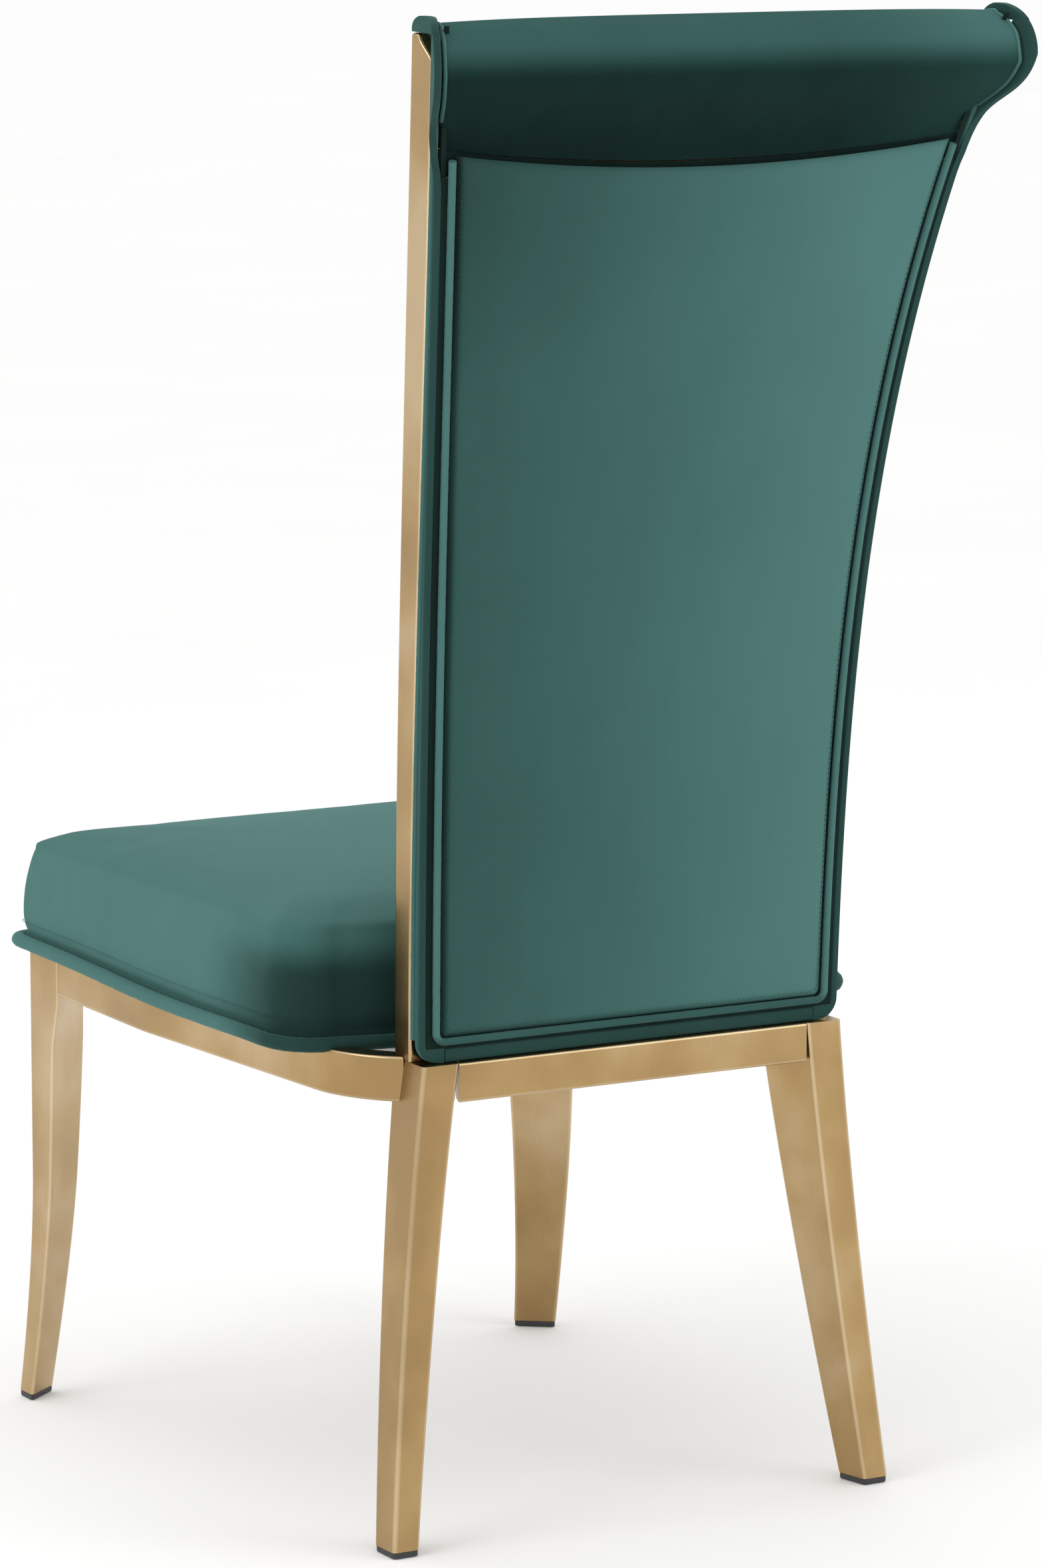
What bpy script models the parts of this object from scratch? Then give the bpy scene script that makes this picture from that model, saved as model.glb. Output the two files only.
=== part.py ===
"""Dining chair with a polished metal frame and an upholstered scroll back.

Metres, +Z up. The chair faces -Y, and +X is the sitter's left. The origin is on the floor,
under the middle of the chair's box.
"""

from math import cos, pi, sin, sqrt

import bmesh
import bpy
from mathutils import Vector

# Heights of the frame.
RAIL_BOTTOM = 0.3425
RAIL_TOP = 0.3725
REAR_RAIL_BOTTOM = 0.3355
REAR_RAIL_TOP = 0.3655
FOOT_TOP = 0.005  # the tubes start here, on the glides

# The seat frame slopes down to the rear from here.
SLOPE = 0.0185
SLOPE_START_Y = -0.280

# Gaps and sheet.
GAP = 0.0003
WALL = 0.0012
CHAMFER = 0.0022

# Front legs: the outer front corner, and the size of the section along X and Y.
LEG_OUTER_X = 0.2437
LEG_FRONT_Y = -0.330
FOOT_KICK = 0.022  # how far the foot flares forward
FOOT_SPLAY = 0.0035  # and outwards
FRONT_FOOT_SIZE = (0.031, 0.0235)
FRONT_LEG_SIZE = (0.049, 0.041)
FRONT_TAPER_TOP = 0.30
CORNER_FLARE = 0.011  # the leg widens to the rear where it meets the side rail

# Rear legs.
REAR_FOOT_X = 0.219
REAR_KICK = 0.033
REAR_LEG_DEPTH = 0.045
REAR_FOOT_DEPTH = 0.029
REAR_LEG_WIDTH = (0.048, 0.030)  # across the front face and across the rear face
REAR_FOOT_WIDTH = (0.027, 0.0215)
REAR_LEG_BEVEL = 0.0035

# Rails.
RAIL_WIDTH = 0.020
RAIL_TAPER_Y = -0.130
RAIL_TAPER = 0.088
RAIL_CORNER_Y = 0.112
RAIL_CORNER_R = 0.090
RAIL_END_Y = 0.1786
BRACE_HEIGHT = 0.020
BRACE_WIDTH = 0.025
BRACE_AT = (-0.16, 0.06)

# Back: front face and half width as curves of the height above the rear legs.
BACK_START = 0.368
BACK_RISE = 0.652
BACK_FRONT = (0.166, 0.018, 0.0365, 0.0418)
BACK_HALF = (0.1830, 0.0085, 0.0, 0.0312)
POST_WIDTH = 0.022
POST_DEPTH = 0.024
POST_DEEPER = 0.006
POST_TOP = 1.1283
POST_TIP = 0.020  # the post narrows to a point at its top
PANEL_DEPTH = 0.0383
PIPING_R = 0.0028
BORDER_THICK = 0.006
BORDER_CORNER_R = 0.016
BORDER_FOOT = 0.022

# Scroll: its rear line, then a quarter ellipse over the top.
SCROLL_START = 1.030
SCROLL_LINE = ((0.3040, 1.0300), (0.3103, 1.0773), (0.3467, 1.0649), (0.3567, 1.1042))
SCROLL_MIDDLE = (0.3271, 1.1042)
SCROLL_REACH = 0.0296
SCROLL_RISE = 0.0363
SCROLL_FLARE = 0.44
CAP_FRONT = (0.3035, 0.3225)  # how far forward the ends reach over the posts, low and high
SCROLL_SEAM = 1.043
ROLL_INSET = 0.005
ROLL_CROWN = 0.0025

# Seat.
SEAT_BOTTOM = 0.3752
SEAT_EDGE = 0.458
SEAT_CROWN = 0.477
SEAT_FRONT_Y = -0.340
SEAT_FRONT_BOW = 0.0065
SEAT_REAR_Y = 0.143
SEAT_HALF = 0.2455
SEAT_SWELL = 0.0015
SEAT_CORNER = 0.015
SEAT_REAR_CORNER = 0.040
SEAT_REAR_BOW = 0.022
SEAT_DIP = 0.0055  # the side hangs lower over the rail towards the rear
COVER = 0.0018
SEAT_PIPING_R = 0.0042
BOARD_THICK = 0.012

# Back cushions, as depths behind the front face of the posts.
FRONT_PAD_CROWN = 0.010
FRONT_PAD_BACK = 0.0057
INNER_BOARD = (0.006, 0.0165)
CROSSBAR = (0.0178, 0.0238)
REAR_BOARD = (0.0333, 0.0363)
REAR_PANEL_LINE = 0.0398  # middle of the piping round the rear cushion
REAR_PAD_CROWN = 0.011

GOLD = ("polished_gold", (0.78, 0.60, 0.36), 0.16, 1.0)
VELVET = ("green_velvet", (0.035, 0.13, 0.11), 0.85, 0.0)
FOAM = ("seat_foam", (0.78, 0.74, 0.60), 0.9, 0.0)
WOOD = ("plywood", (0.55, 0.40, 0.24), 0.7, 0.0)
PLASTIC = ("black_nylon", (0.03, 0.03, 0.03), 0.5, 0.0)
LINING = ("black_lining", (0.02, 0.02, 0.02), 0.9, 0.0)
STEEL = ("zinc_steel", (0.60, 0.60, 0.60), 0.35, 1.0)

SIDES = (("left", 1), ("right", -1))


def clear_scene():
    for obj in list(bpy.data.objects):
        bpy.data.objects.remove(obj)


def new_collection(name):
    made = bpy.data.collections.new(name)
    bpy.context.scene.collection.children.link(made)
    return made


def material(spec):
    name, colour, roughness, metallic = spec
    made = bpy.data.materials.get(name)
    if made:
        return made
    made = bpy.data.materials.new(name)
    made.use_nodes = True
    shader = made.node_tree.nodes["Principled BSDF"]
    shader.inputs["Base Color"].default_value = (*colour, 1)
    shader.inputs["Roughness"].default_value = roughness
    shader.inputs["Metallic"].default_value = metallic
    return made


def add_mesh(name, bm, spec):
    bmesh.ops.recalc_face_normals(bm, faces=bm.faces)
    mesh = bpy.data.meshes.new(name)
    bm.to_mesh(mesh)
    bm.free()
    mesh.materials.append(material(spec))
    obj = bpy.data.objects.new(name, mesh)
    parts.objects.link(obj)
    return obj


def as_cutter(obj):
    parts.objects.unlink(obj)
    cutters.objects.link(obj)
    obj.hide_render = True
    obj.display_type = "WIRE"
    return obj


def cut(obj, cutter):
    modifier = obj.modifiers.new(cutter.name, "BOOLEAN")
    modifier.object = cutter
    modifier.operation = "DIFFERENCE"


def bridge(bm, first, second):
    count = len(first)
    for i in range(count):
        j = (i + 1) % count
        bm.faces.new((first[i], first[j], second[j], second[i]))


def loft(name, rings, spec, inner=None):
    """Joins rings of points. With inner rings it is a tube, and without them the ends are capped."""
    bm = bmesh.new()
    outer = [[bm.verts.new(p) for p in ring] for ring in rings]
    for first, second in zip(outer, outer[1:]):
        bridge(bm, first, second)
    if inner is None:
        bm.faces.new(outer[0])
        bm.faces.new(outer[-1])
        return add_mesh(name, bm, spec)
    lining = [[bm.verts.new(p) for p in ring] for ring in inner]
    for first, second in zip(lining, lining[1:]):
        bridge(bm, first, second)
    bridge(bm, outer[0], lining[0])
    bridge(bm, outer[-1], lining[-1])
    return add_mesh(name, bm, spec)


def mirrored(ring, side):
    return [Vector((p[0] * side, p[1], p[2])) for p in ring]


def inset(outline, distance):
    """Moves each edge of a convex outline inwards."""
    middle = sum((Vector(p) for p in outline), Vector((0, 0))) / len(outline)
    lines = []
    for i, start in enumerate(outline):
        start = Vector(start)
        along = (Vector(outline[(i + 1) % len(outline)]) - start).normalized()
        normal = Vector((-along.y, along.x))
        if normal.dot(middle - start) < 0:
            normal = -normal
        lines.append((start + normal * distance, along))
    moved = []
    for i, (point, along) in enumerate(lines):
        before, direction = lines[i - 1]
        step = (point - before).cross(along) / direction.cross(along)
        moved.append(before + direction * step)
    return moved


def at_height(outline, z):
    return [Vector((p[0], p[1], z)) for p in outline]


def spread(start, end, count):
    return [start + (end - start) * i / (count - 1) for i in range(count)]


def smooth(t):
    t = max(0.0, min(1.0, t))
    return t * t * (3 - 2 * t)


def chamfered_box(x0, x1, y0, y1, size=CHAMFER):
    return [
        (x0 + size, y0), (x1 - size, y0), (x1, y0 + size), (x1, y1 - size),
        (x1 - size, y1), (x0 + size, y1), (x0, y1 - size), (x0, y0 + size),
    ]


def curve_at(terms, z):
    t = (z - BACK_START) / BACK_RISE
    return sum(term * t**power for power, term in enumerate(terms))


def back_front(z):
    return curve_at(BACK_FRONT, z)


def back_half(z):
    return curve_at(BACK_HALF, z)


def band_start(z):
    """Depth of the post below its tip, where the piping and the band behind it start."""
    return POST_DEPTH + POST_DEEPER * smooth((z - BACK_START) / BACK_RISE)


def post_depth(z):
    return band_start(z) - POST_TIP * smooth((z - 1.106) / (POST_TOP - 1.106))


def scroll_line(t):
    """A point of the cubic under the scroll, as y and z."""
    weights = ((1 - t) ** 3, 3 * t * (1 - t) ** 2, 3 * t * t * (1 - t), t**3)
    return [sum(w * p[axis] for w, p in zip(weights, SCROLL_LINE)) for axis in (0, 1)]


def scroll_rear(z):
    """How far back the scroll reaches at height z."""
    if z <= SCROLL_LINE[0][1]:
        return back_front(z) + PANEL_DEPTH
    if z >= SCROLL_MIDDLE[1]:
        rise = min(1.0, (z - SCROLL_MIDDLE[1]) / SCROLL_RISE)
        return SCROLL_MIDDLE[0] + SCROLL_REACH * sqrt(1 - rise * rise)
    low, high = 0.0, 1.0
    for _ in range(30):
        middle = (low + high) / 2
        if scroll_line(middle)[1] < z:
            low = middle
        else:
            high = middle
    return scroll_line(low)[0]


def outer_half(y, z):
    """Half width of the back at a point: the scroll's ends flare to the rear."""
    started = smooth((z - 1.015) / 0.045)
    behind = y - back_front(z) - 0.0265
    return back_half(z) + SCROLL_FLARE * started * max(0.0, behind)


def between(start, end, t):
    return [low + (high - low) * t for low, high in zip(start, end)]


def front_leg_outline(z):
    """A right-angled triangle with its point cut off: the long face looks in and to the rear."""
    taper = smooth(z / FRONT_TAPER_TOP) * 0.35 + min(1.0, z / FRONT_TAPER_TOP) * 0.65
    wide, deep = between(FRONT_FOOT_SIZE, FRONT_LEG_SIZE, taper)
    deep += CORNER_FLARE * smooth((z - 0.290) / (RAIL_BOTTOM - 0.290))
    flared = (1 - min(1.0, z / 0.19)) ** 1.7
    x = LEG_OUTER_X + FOOT_SPLAY * flared
    y = LEG_FRONT_Y - FOOT_KICK * flared
    tip = 0.0045
    cut_x = tip * 0.707
    cut_y = cut_x * deep / wide
    return [
        (x - CHAMFER, y), (x, y + CHAMFER), (x, y + deep - tip),
        (x - cut_x, y + deep - cut_y), (x - wide + cut_x, y + cut_y), (x - wide + tip, y),
    ]


def rear_leg_outline(z):
    """Four sides: the front face is wider than the rear one, so the inner side slants."""
    up = min(1.0, z / REAR_RAIL_TOP)
    outer = REAR_FOOT_X + (back_half(REAR_RAIL_TOP) - REAR_FOOT_X) * up
    front = back_front(REAR_RAIL_TOP) + REAR_KICK * (1 - up) ** 1.6
    rear = front + REAR_FOOT_DEPTH + (REAR_LEG_DEPTH - REAR_FOOT_DEPTH) * up
    front_wide, rear_wide = between(REAR_FOOT_WIDTH, REAR_LEG_WIDTH, up)
    size = CHAMFER
    return [
        (outer - front_wide + size, front), (outer - size, front), (outer, front + size),
        (outer, rear - REAR_LEG_BEVEL), (outer - REAR_LEG_BEVEL, rear), (outer - rear_wide + size, rear),
        (outer - rear_wide - 0.0005, rear - size), (outer - front_wide, front + size),
    ]


def leg(name, side, outline, heights):
    rings = [at_height(outline(z), z) for z in heights]
    inner = [at_height(inset(outline(z), WALL), z) for z in heights]
    loft(name, [mirrored(r, side) for r in rings], GOLD, [mirrored(r, side) for r in inner])


def glide(name, side, outline):
    """A pad as wide as the foot, with a plug that fills the tube's end."""
    pad = inset(outline(FOOT_TOP), 0.0005)
    top = FOOT_TOP - GAP
    levels = [at_height(pad, 0), at_height(pad, top)]
    for z in (top, 0.018):
        levels.append(at_height(inset(outline(max(z, FOOT_TOP)), WALL + 0.0005), z))
    loft(name, [mirrored(r, side) for r in levels], PLASTIC)


def legs_and_glides():
    front_heights = [FOOT_TOP] + spread(0.02, 0.29, 14) + [0.302, 0.315, 0.327, RAIL_BOTTOM]
    front_heights.append(RAIL_TOP - SLOPE * FRONT_LEG_SIZE[1])
    rear_heights = [FOOT_TOP] + spread(0.03, REAR_RAIL_TOP, 11)
    for word, side in SIDES:
        leg(f"front_leg_{word}", side, front_leg_outline, front_heights)
        leg(f"rear_leg_{word}", side, rear_leg_outline, rear_heights)
        glide(f"front_glide_{word}", side, front_leg_outline)
        glide(f"rear_glide_{word}", side, rear_leg_outline)


def sloped(point):
    """Lowers a point of the seat frame by the frame's slope."""
    return Vector((point[0], point[1], point[2] - SLOPE * (point[1] - SLOPE_START_Y)))


def rail_outer(y):
    """Outer face of a side rail: straight, then tapering, then turning in to the rear leg."""
    taper = RAIL_TAPER * max(0.0, y - RAIL_TAPER_Y)
    turn = max(0.0, y - RAIL_CORNER_Y)
    return LEG_OUTER_X - taper - (RAIL_CORNER_R - sqrt(RAIL_CORNER_R**2 - turn**2))


def side_rail_ring(y_outer, inner, margin):
    """One cut across a side rail, given the outer point's y and the inner point."""
    outer = (rail_outer(y_outer) - margin, y_outer)
    inner = (inner[0] + margin, inner[1])
    low, high = RAIL_BOTTOM + margin, RAIL_TOP - margin
    corners = ((outer, low), (outer, high), (inner, high), (inner, low))
    return [sloped((x, y, z)) for (x, y), z in corners]


def rail_inner(y):
    """The point across the rail from the outer face at y."""
    slope = (rail_outer(y + 0.001) - rail_outer(y - 0.001)) / 0.002
    long = sqrt(1 + slope * slope)
    return rail_outer(y) - RAIL_WIDTH / long, y + RAIL_WIDTH * slope / long


def side_rails():
    deep = FRONT_LEG_SIZE[1] + CORNER_FLARE
    start = LEG_FRONT_Y + deep + 0.0006
    back_to = start - RAIL_WIDTH * deep / FRONT_LEG_SIZE[0] + 0.001
    stations = [(start, (LEG_OUTER_X - RAIL_WIDTH, back_to))]
    marks = [-0.2] + spread(RAIL_TAPER_Y, 0.1, 4) + spread(0.112, 0.172, 6)
    stations += [(y, rail_inner(y)) for y in marks]
    stations.append((RAIL_END_Y, (rail_outer(RAIL_END_Y) - 0.0001, back_front(BACK_START) - 0.004)))
    for word, side in SIDES:
        rings = [mirrored(side_rail_ring(y, inner, 0), side) for y, inner in stations]
        lining = [mirrored(side_rail_ring(y, inner, WALL), side) for y, inner in stations]
        loft(f"side_rail_{word}", rings, GOLD, lining)


def cross_tube(name, spec, half_front, half_rear, front, rear, low, high):
    """A tube from side to side, its ends cut on a slant when the two half widths differ."""
    def ring(side, margin):
        slant = (half_rear - half_front) / (rear - front)
        near = half_front + slant * margin
        far = half_rear - slant * margin
        points = ((near, front + margin, low + margin), (near, front + margin, high - margin),
                  (far, rear - margin, high - margin), (far, rear - margin, low + margin))
        return [Vector((x * side, y, z)) for x, y, z in points]

    loft(name, [ring(1, 0), ring(-1, 0)], spec, [ring(1, WALL), ring(-1, WALL)])


def cross_rails():
    reach = LEG_OUTER_X - FRONT_LEG_SIZE[0] - 0.0006
    slant = RAIL_WIDTH * FRONT_LEG_SIZE[0] / (FRONT_LEG_SIZE[1] + CORNER_FLARE)
    rear_y = LEG_FRONT_Y + RAIL_WIDTH
    cross_tube("front_rail", GOLD, reach, reach + slant, LEG_FRONT_Y, rear_y, RAIL_BOTTOM,
               RAIL_TOP - SLOPE * RAIL_WIDTH)
    rear_face = back_front(REAR_RAIL_TOP) + REAR_LEG_DEPTH - 0.001
    half = back_half(REAR_RAIL_TOP)
    slant = (REAR_LEG_WIDTH[0] - REAR_LEG_WIDTH[1]) / REAR_LEG_DEPTH
    reach = half - REAR_LEG_WIDTH[1] - 0.0012
    cross_tube("rear_rail", GOLD, reach - slant * (RAIL_WIDTH + 0.001), reach - slant * 0.001,
               rear_face - RAIL_WIDTH, rear_face, REAR_RAIL_BOTTOM, REAR_RAIL_TOP)
    for word, y in zip(("front", "rear"), BRACE_AT):
        reach = rail_outer(y + BRACE_WIDTH / 2) - RAIL_WIDTH - 0.0015
        top = sloped((0, y, RAIL_TOP)).z - 0.0015
        cross_tube(f"seat_brace_{word}", STEEL, reach, reach, y - BRACE_WIDTH / 2,
                   y + BRACE_WIDTH / 2, top - BRACE_HEIGHT, top)


def seat_outline(scale):
    """The seat from above, round from the middle of the rear edge. Scale shrinks it to its middle."""
    half = []
    corner = SEAT_REAR_CORNER
    side_x = SEAT_HALF + SEAT_SWELL
    corner_y = SEAT_REAR_Y - SEAT_REAR_BOW - corner
    for x in spread(0, side_x - corner, 7):
        half.append((x, SEAT_REAR_Y - SEAT_REAR_BOW * (x / (side_x - corner)) ** 2.6))
    for i in range(1, 8):
        turn = pi / 2 * i / 8
        half.append((side_x - corner + corner * sin(turn), corner_y + corner * cos(turn)))
    front_y = SEAT_FRONT_Y + SEAT_CORNER
    for y in spread(corner_y, front_y, 9):
        ease = max(0.0, (-0.05 - y) / (-0.05 - front_y))
        half.append((SEAT_HALF + SEAT_SWELL * (1 - ease * ease), y))
    corner_x = SEAT_HALF - SEAT_CORNER
    for i in range(1, 7):
        turn = pi / 2 * i / 7
        round_x = abs(cos(turn)) ** 0.72
        round_y = abs(sin(turn)) ** 0.72
        half.append((corner_x + SEAT_CORNER * round_x, front_y - SEAT_CORNER * round_y))
    for x in spread(corner_x, 0, 6):
        half.append((x, SEAT_FRONT_Y - SEAT_FRONT_BOW * (1 - (x / corner_x) ** 2)))
    whole = half + [(-x, y) for x, y in reversed(half[1:-1])]
    middle_y = (SEAT_FRONT_Y + SEAT_REAR_Y) / 2
    return [(x * scale, middle_y + (y - middle_y) * scale) for x, y in whole]


def grown(amount):
    """Scale that moves the seat's side outwards by this much."""
    return 1 + amount / SEAT_HALF


def seat_ring(scale, z):
    """The seat's outline at one height. It slopes and dips at the bottom, and is level at the top."""
    share = max(0.0, min(1.0, (SEAT_EDGE - z) / (SEAT_EDGE - SEAT_BOTTOM)))
    ring = []
    for x, y in seat_outline(scale):
        dip = SEAT_DIP * smooth((y - SLOPE_START_Y) / 0.3) * (1 - smooth((y - 0.084) / 0.02))
        ring.append(Vector((x, y, z - share * (SLOPE * (y - SLOPE_START_Y) + dip))))
    return ring


def seat_rings(shrink, bottom):
    rows = [(0.0000, bottom), (0.0025, 0.394), (0.0040, 0.415), (0.0025, 0.438),
            (-0.0005, 0.4530), (-0.0050, 0.4595), (-0.0150, 0.4645), (-0.0340, 0.4690),
            (-0.0640, 0.4727), (-0.1100, 0.4757), (-0.1600, SEAT_CROWN)]
    return [seat_ring(grown(side - shrink), z - (shrink if i else 0)) for i, (side, z) in enumerate(rows)]


def flat_board(name, outline, low, high, spec):
    """A flat plate in the seat frame, with the frame's slope."""
    rings = [[sloped(p) for p in at_height(outline, z)] for z in (low, high)]
    return loft(name, rings, spec)


def seat_parts():
    outer = seat_rings(0, SEAT_BOTTOM)
    inner = seat_rings(COVER, SEAT_BOTTOM)
    bm = bmesh.new()
    skins = []
    for rings in (outer, inner):
        verts = [[bm.verts.new(p) for p in ring] for ring in rings]
        for first, second in zip(verts, verts[1:]):
            bridge(bm, first, second)
        bm.faces.new(verts[-1])
        skins.append(verts[0])
    bridge(bm, skins[0], skins[1])
    add_mesh("seat_cover", bm, VELVET)
    board_low = RAIL_TOP + GAP
    board_high = board_low + BOARD_THICK
    board = flat_board("seat_board", seat_outline(grown(-0.010)), board_low, board_high, WOOD)
    pad = seat_rings(COVER + 0.0006, board_high)
    pad[0] = [sloped(p) for p in at_height(seat_outline(grown(-COVER - 0.0006)), board_high + GAP)]
    loft("seat_foam", pad, FOAM)
    ring = seat_ring(grown(SEAT_PIPING_R + 0.0014), SEAT_BOTTOM + 0.0045)
    piping("seat_piping", ring, SEAT_PIPING_R, True)
    return board


def piping(name, points, radius, closed):
    data = bpy.data.curves.new(name, "CURVE")
    data.dimensions = "3D"
    data.bevel_depth = radius
    data.bevel_resolution = 1
    data.use_fill_caps = True
    spline = data.splines.new("POLY")
    spline.points.add(len(points) - 1)
    for place, point in zip(spline.points, points):
        place.co = (*point, 1)
    spline.use_cyclic_u = closed
    data.materials.append(material(VELVET))
    obj = bpy.data.objects.new(name, data)
    parts.objects.link(obj)
    return obj


def screw(name, x, y, top, length):
    """A round-head screw, its head down: half its outline, turned about Z."""
    profile = ((0, top), (0.0021, top - 0.001), (0.0021, top - length), (0.005, top - length),
               (0.0045, top - length - 0.003), (0, top - length - 0.0032))
    bm = bmesh.new()
    verts = [bm.verts.new((r, 0, z)) for r, z in profile]
    for first, second in zip(verts, verts[1:]):
        bm.edges.new((first, second))
    mesh = bpy.data.meshes.new(name)
    bm.to_mesh(mesh)
    bm.free()
    mesh.materials.append(material(STEEL))
    obj = bpy.data.objects.new(name, mesh)
    parts.objects.link(obj)
    obj.location = (x, y, 0)
    turn = obj.modifiers.new("turn", "SCREW")
    turn.steps = turn.render_steps = 14
    turn.use_merge_vertices = True
    turn.merge_threshold = 0.0001
    turn.use_normal_calculate = True
    turn.use_normal_flip = True


def drill(name, x, y, low, high, radius):
    bm = bmesh.new()
    bmesh.ops.create_cone(bm, cap_ends=True, segments=14, radius1=radius, radius2=radius, depth=high - low)
    bmesh.ops.translate(bm, verts=bm.verts, vec=(x, y, (low + high) / 2))
    return as_cutter(add_mesh(name, bm, STEEL))


def corner_plates(board):
    """Plates in the corners of the seat frame, each with a screw up into the seat board."""
    thick = 0.003
    top = RAIL_TOP - 0.0010
    inner_x = LEG_OUTER_X - RAIL_WIDTH
    front_y = LEG_FRONT_Y + RAIL_WIDTH
    rear_y = back_front(REAR_RAIL_TOP) + REAR_LEG_DEPTH - RAIL_WIDTH
    front = [(inner_x - 0.001, front_y + 0.062), (inner_x - 0.001, front_y + 0.034),
             (inner_x - 0.032, front_y + 0.001), (inner_x - 0.062, front_y + 0.001)]
    rear = [(0.128, rear_y - 0.003), (0.088, rear_y - 0.003), (0.088, rear_y - 0.078),
            (0.128, rear_y - 0.078)]
    for word, side in SIDES:
        for end, outline in (("front", front), ("rear", rear)):
            label = f"{end}_{word}"
            plate_outline = [(x * side, y) for x, y in outline]
            plate = flat_board(f"corner_plate_{label}", plate_outline, top - thick, top, GOLD)
            x = sum(p[0] for p in plate_outline) / len(plate_outline)
            y = sum(p[1] for p in plate_outline) / len(plate_outline)
            if end == "rear":
                y = SEAT_REAR_Y - 0.030
            head = sloped((x, y, top - thick - GAP)).z
            length = 0.0142
            hole = drill(f"hole_{label}", x, y, head - 0.01, head + length + 0.0005, 0.0025)
            cut(plate, hole)
            cut(board, hole)
            screw(f"seat_screw_{label}", x, y, head + length, length)


def dust_cover():
    outline = [(x * side, y) for side, pairs in ((1, ((0.18, -0.24), (0.19, 0.03), (0.14, 0.09))),
                                                 (-1, ((0.14, 0.09), (0.19, 0.03), (0.18, -0.24))))
               for x, y in pairs]
    low = RAIL_TOP - 0.0015 - BRACE_HEIGHT - 0.0022
    flat_board("dust_cover", outline, low, low + 0.001, LINING)


def post_ring(z, grow=0.0):
    half = back_half(z)
    front = back_front(z)
    return chamfered_box(half - POST_WIDTH - grow, half + grow, front - grow,
                         front + post_depth(z) + grow)


def back_posts():
    heights = spread(REAR_RAIL_TOP + GAP, POST_TOP, 19)
    for word, side in SIDES:
        rings = [mirrored(at_height(post_ring(z), z), side) for z in heights]
        inner = [mirrored(at_height(inset(post_ring(z), WALL), z), side) for z in heights]
        loft(f"back_post_{word}", rings, GOLD, inner)


def panel(name, front_depth, rear_depth, margin, low, high, spec, crown=0.0, rounding=0.0, rows=15,
          arch=0.0):
    """A slab that follows the back. Depths are behind the posts' front face, and margin is kept at
    each side. A negative front depth is a pad in front, and crown swells the outer face. Rounding
    is for the bottom corners, and arch lifts the top corners."""
    stations = spread(-1, 1, 11)
    bm = bmesh.new()
    heights = [low + rounding * part for part in (0, 0.15, 0.5)] if rounding else []
    heights += spread(low + rounding, high, rows)
    front_rows, rear_rows = [], []
    for level in heights:
        end = min(level - low, high - level)
        vertical = smooth(end / 0.09)
        front_row, rear_row = [], []
        for s in stations:
            z = level + arch * s * s * (level - low) / (high - low)
            half = back_half(z) - margin
            if level < low + rounding:
                half -= rounding - sqrt(rounding**2 - (rounding - max(0.0, level - low)) ** 2)
            swell = crown * vertical * (1 - s**4)
            y = back_front(z)
            in_front = swell if front_depth < 0 else 0
            behind = swell if front_depth > 0 else 0
            front_row.append(bm.verts.new((s * half, y + front_depth - in_front, z)))
            rear_row.append(bm.verts.new((s * half, y + rear_depth + behind, z)))
        front_rows.append(front_row)
        rear_rows.append(rear_row)
    for i in range(len(heights) - 1):
        for j in range(len(stations) - 1):
            for grid in (front_rows, rear_rows):
                bm.faces.new((grid[i][j], grid[i][j + 1], grid[i + 1][j + 1], grid[i + 1][j]))
        for j in (0, -1):
            bm.faces.new((front_rows[i][j], rear_rows[i][j], rear_rows[i + 1][j], front_rows[i + 1][j]))
    for i in (0, -1):
        for j in range(len(stations) - 1):
            bm.faces.new((front_rows[i][j], front_rows[i][j + 1], rear_rows[i][j + 1], rear_rows[i][j]))
    return add_mesh(name, bm, spec)


def back_panels():
    inside = POST_WIDTH + 0.0006
    panel("back_inner_board", *INNER_BOARD, inside, 0.374, 1.040, WOOD, rows=17)
    panel("back_crossbar_lower", *CROSSBAR, inside, 0.40, 0.43, STEEL, rows=2)
    panel("back_crossbar_upper", *CROSSBAR, inside, 0.97, 1.00, STEEL, rows=2)
    panel("back_rear_board", *REAR_BOARD, BORDER_THICK + 0.0006, 0.3780, 1.026, WOOD, rows=12)
    panel("back_front_cushion", -0.016, FRONT_PAD_BACK, inside + 0.0006, 0.481,
          SCROLL_SEAM - 0.0025, VELVET, crown=FRONT_PAD_CROWN, rows=17)
    panel("back_rear_cushion", REAR_BOARD[1] + 0.001, REAR_PANEL_LINE + 0.0020, 0.0145 + PIPING_R,
          0.3856, 1.0270, VELVET, crown=REAR_PAD_CROWN, rounding=0.018, rows=17, arch=0.0140)
    margin = 0.0135
    line = []
    low = 0.3820
    for z in spread(1.0375, low + 0.020, 21):
        line.append(Vector((back_half(z) - margin, back_front(z) + REAR_PANEL_LINE, z)))
    for i in range(1, 5):
        turn = pi / 2 * i / 4
        z = low + 0.020 - 0.020 * sin(turn)
        x = back_half(z) - margin - 0.020 * (1 - cos(turn))
        line.append(Vector((x, back_front(z) + REAR_PANEL_LINE, z)))
    other = [Vector((-p.x, p.y, p.z)) for p in reversed(line)]
    piping("rear_panel_piping", line + other, PIPING_R, False)


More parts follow.
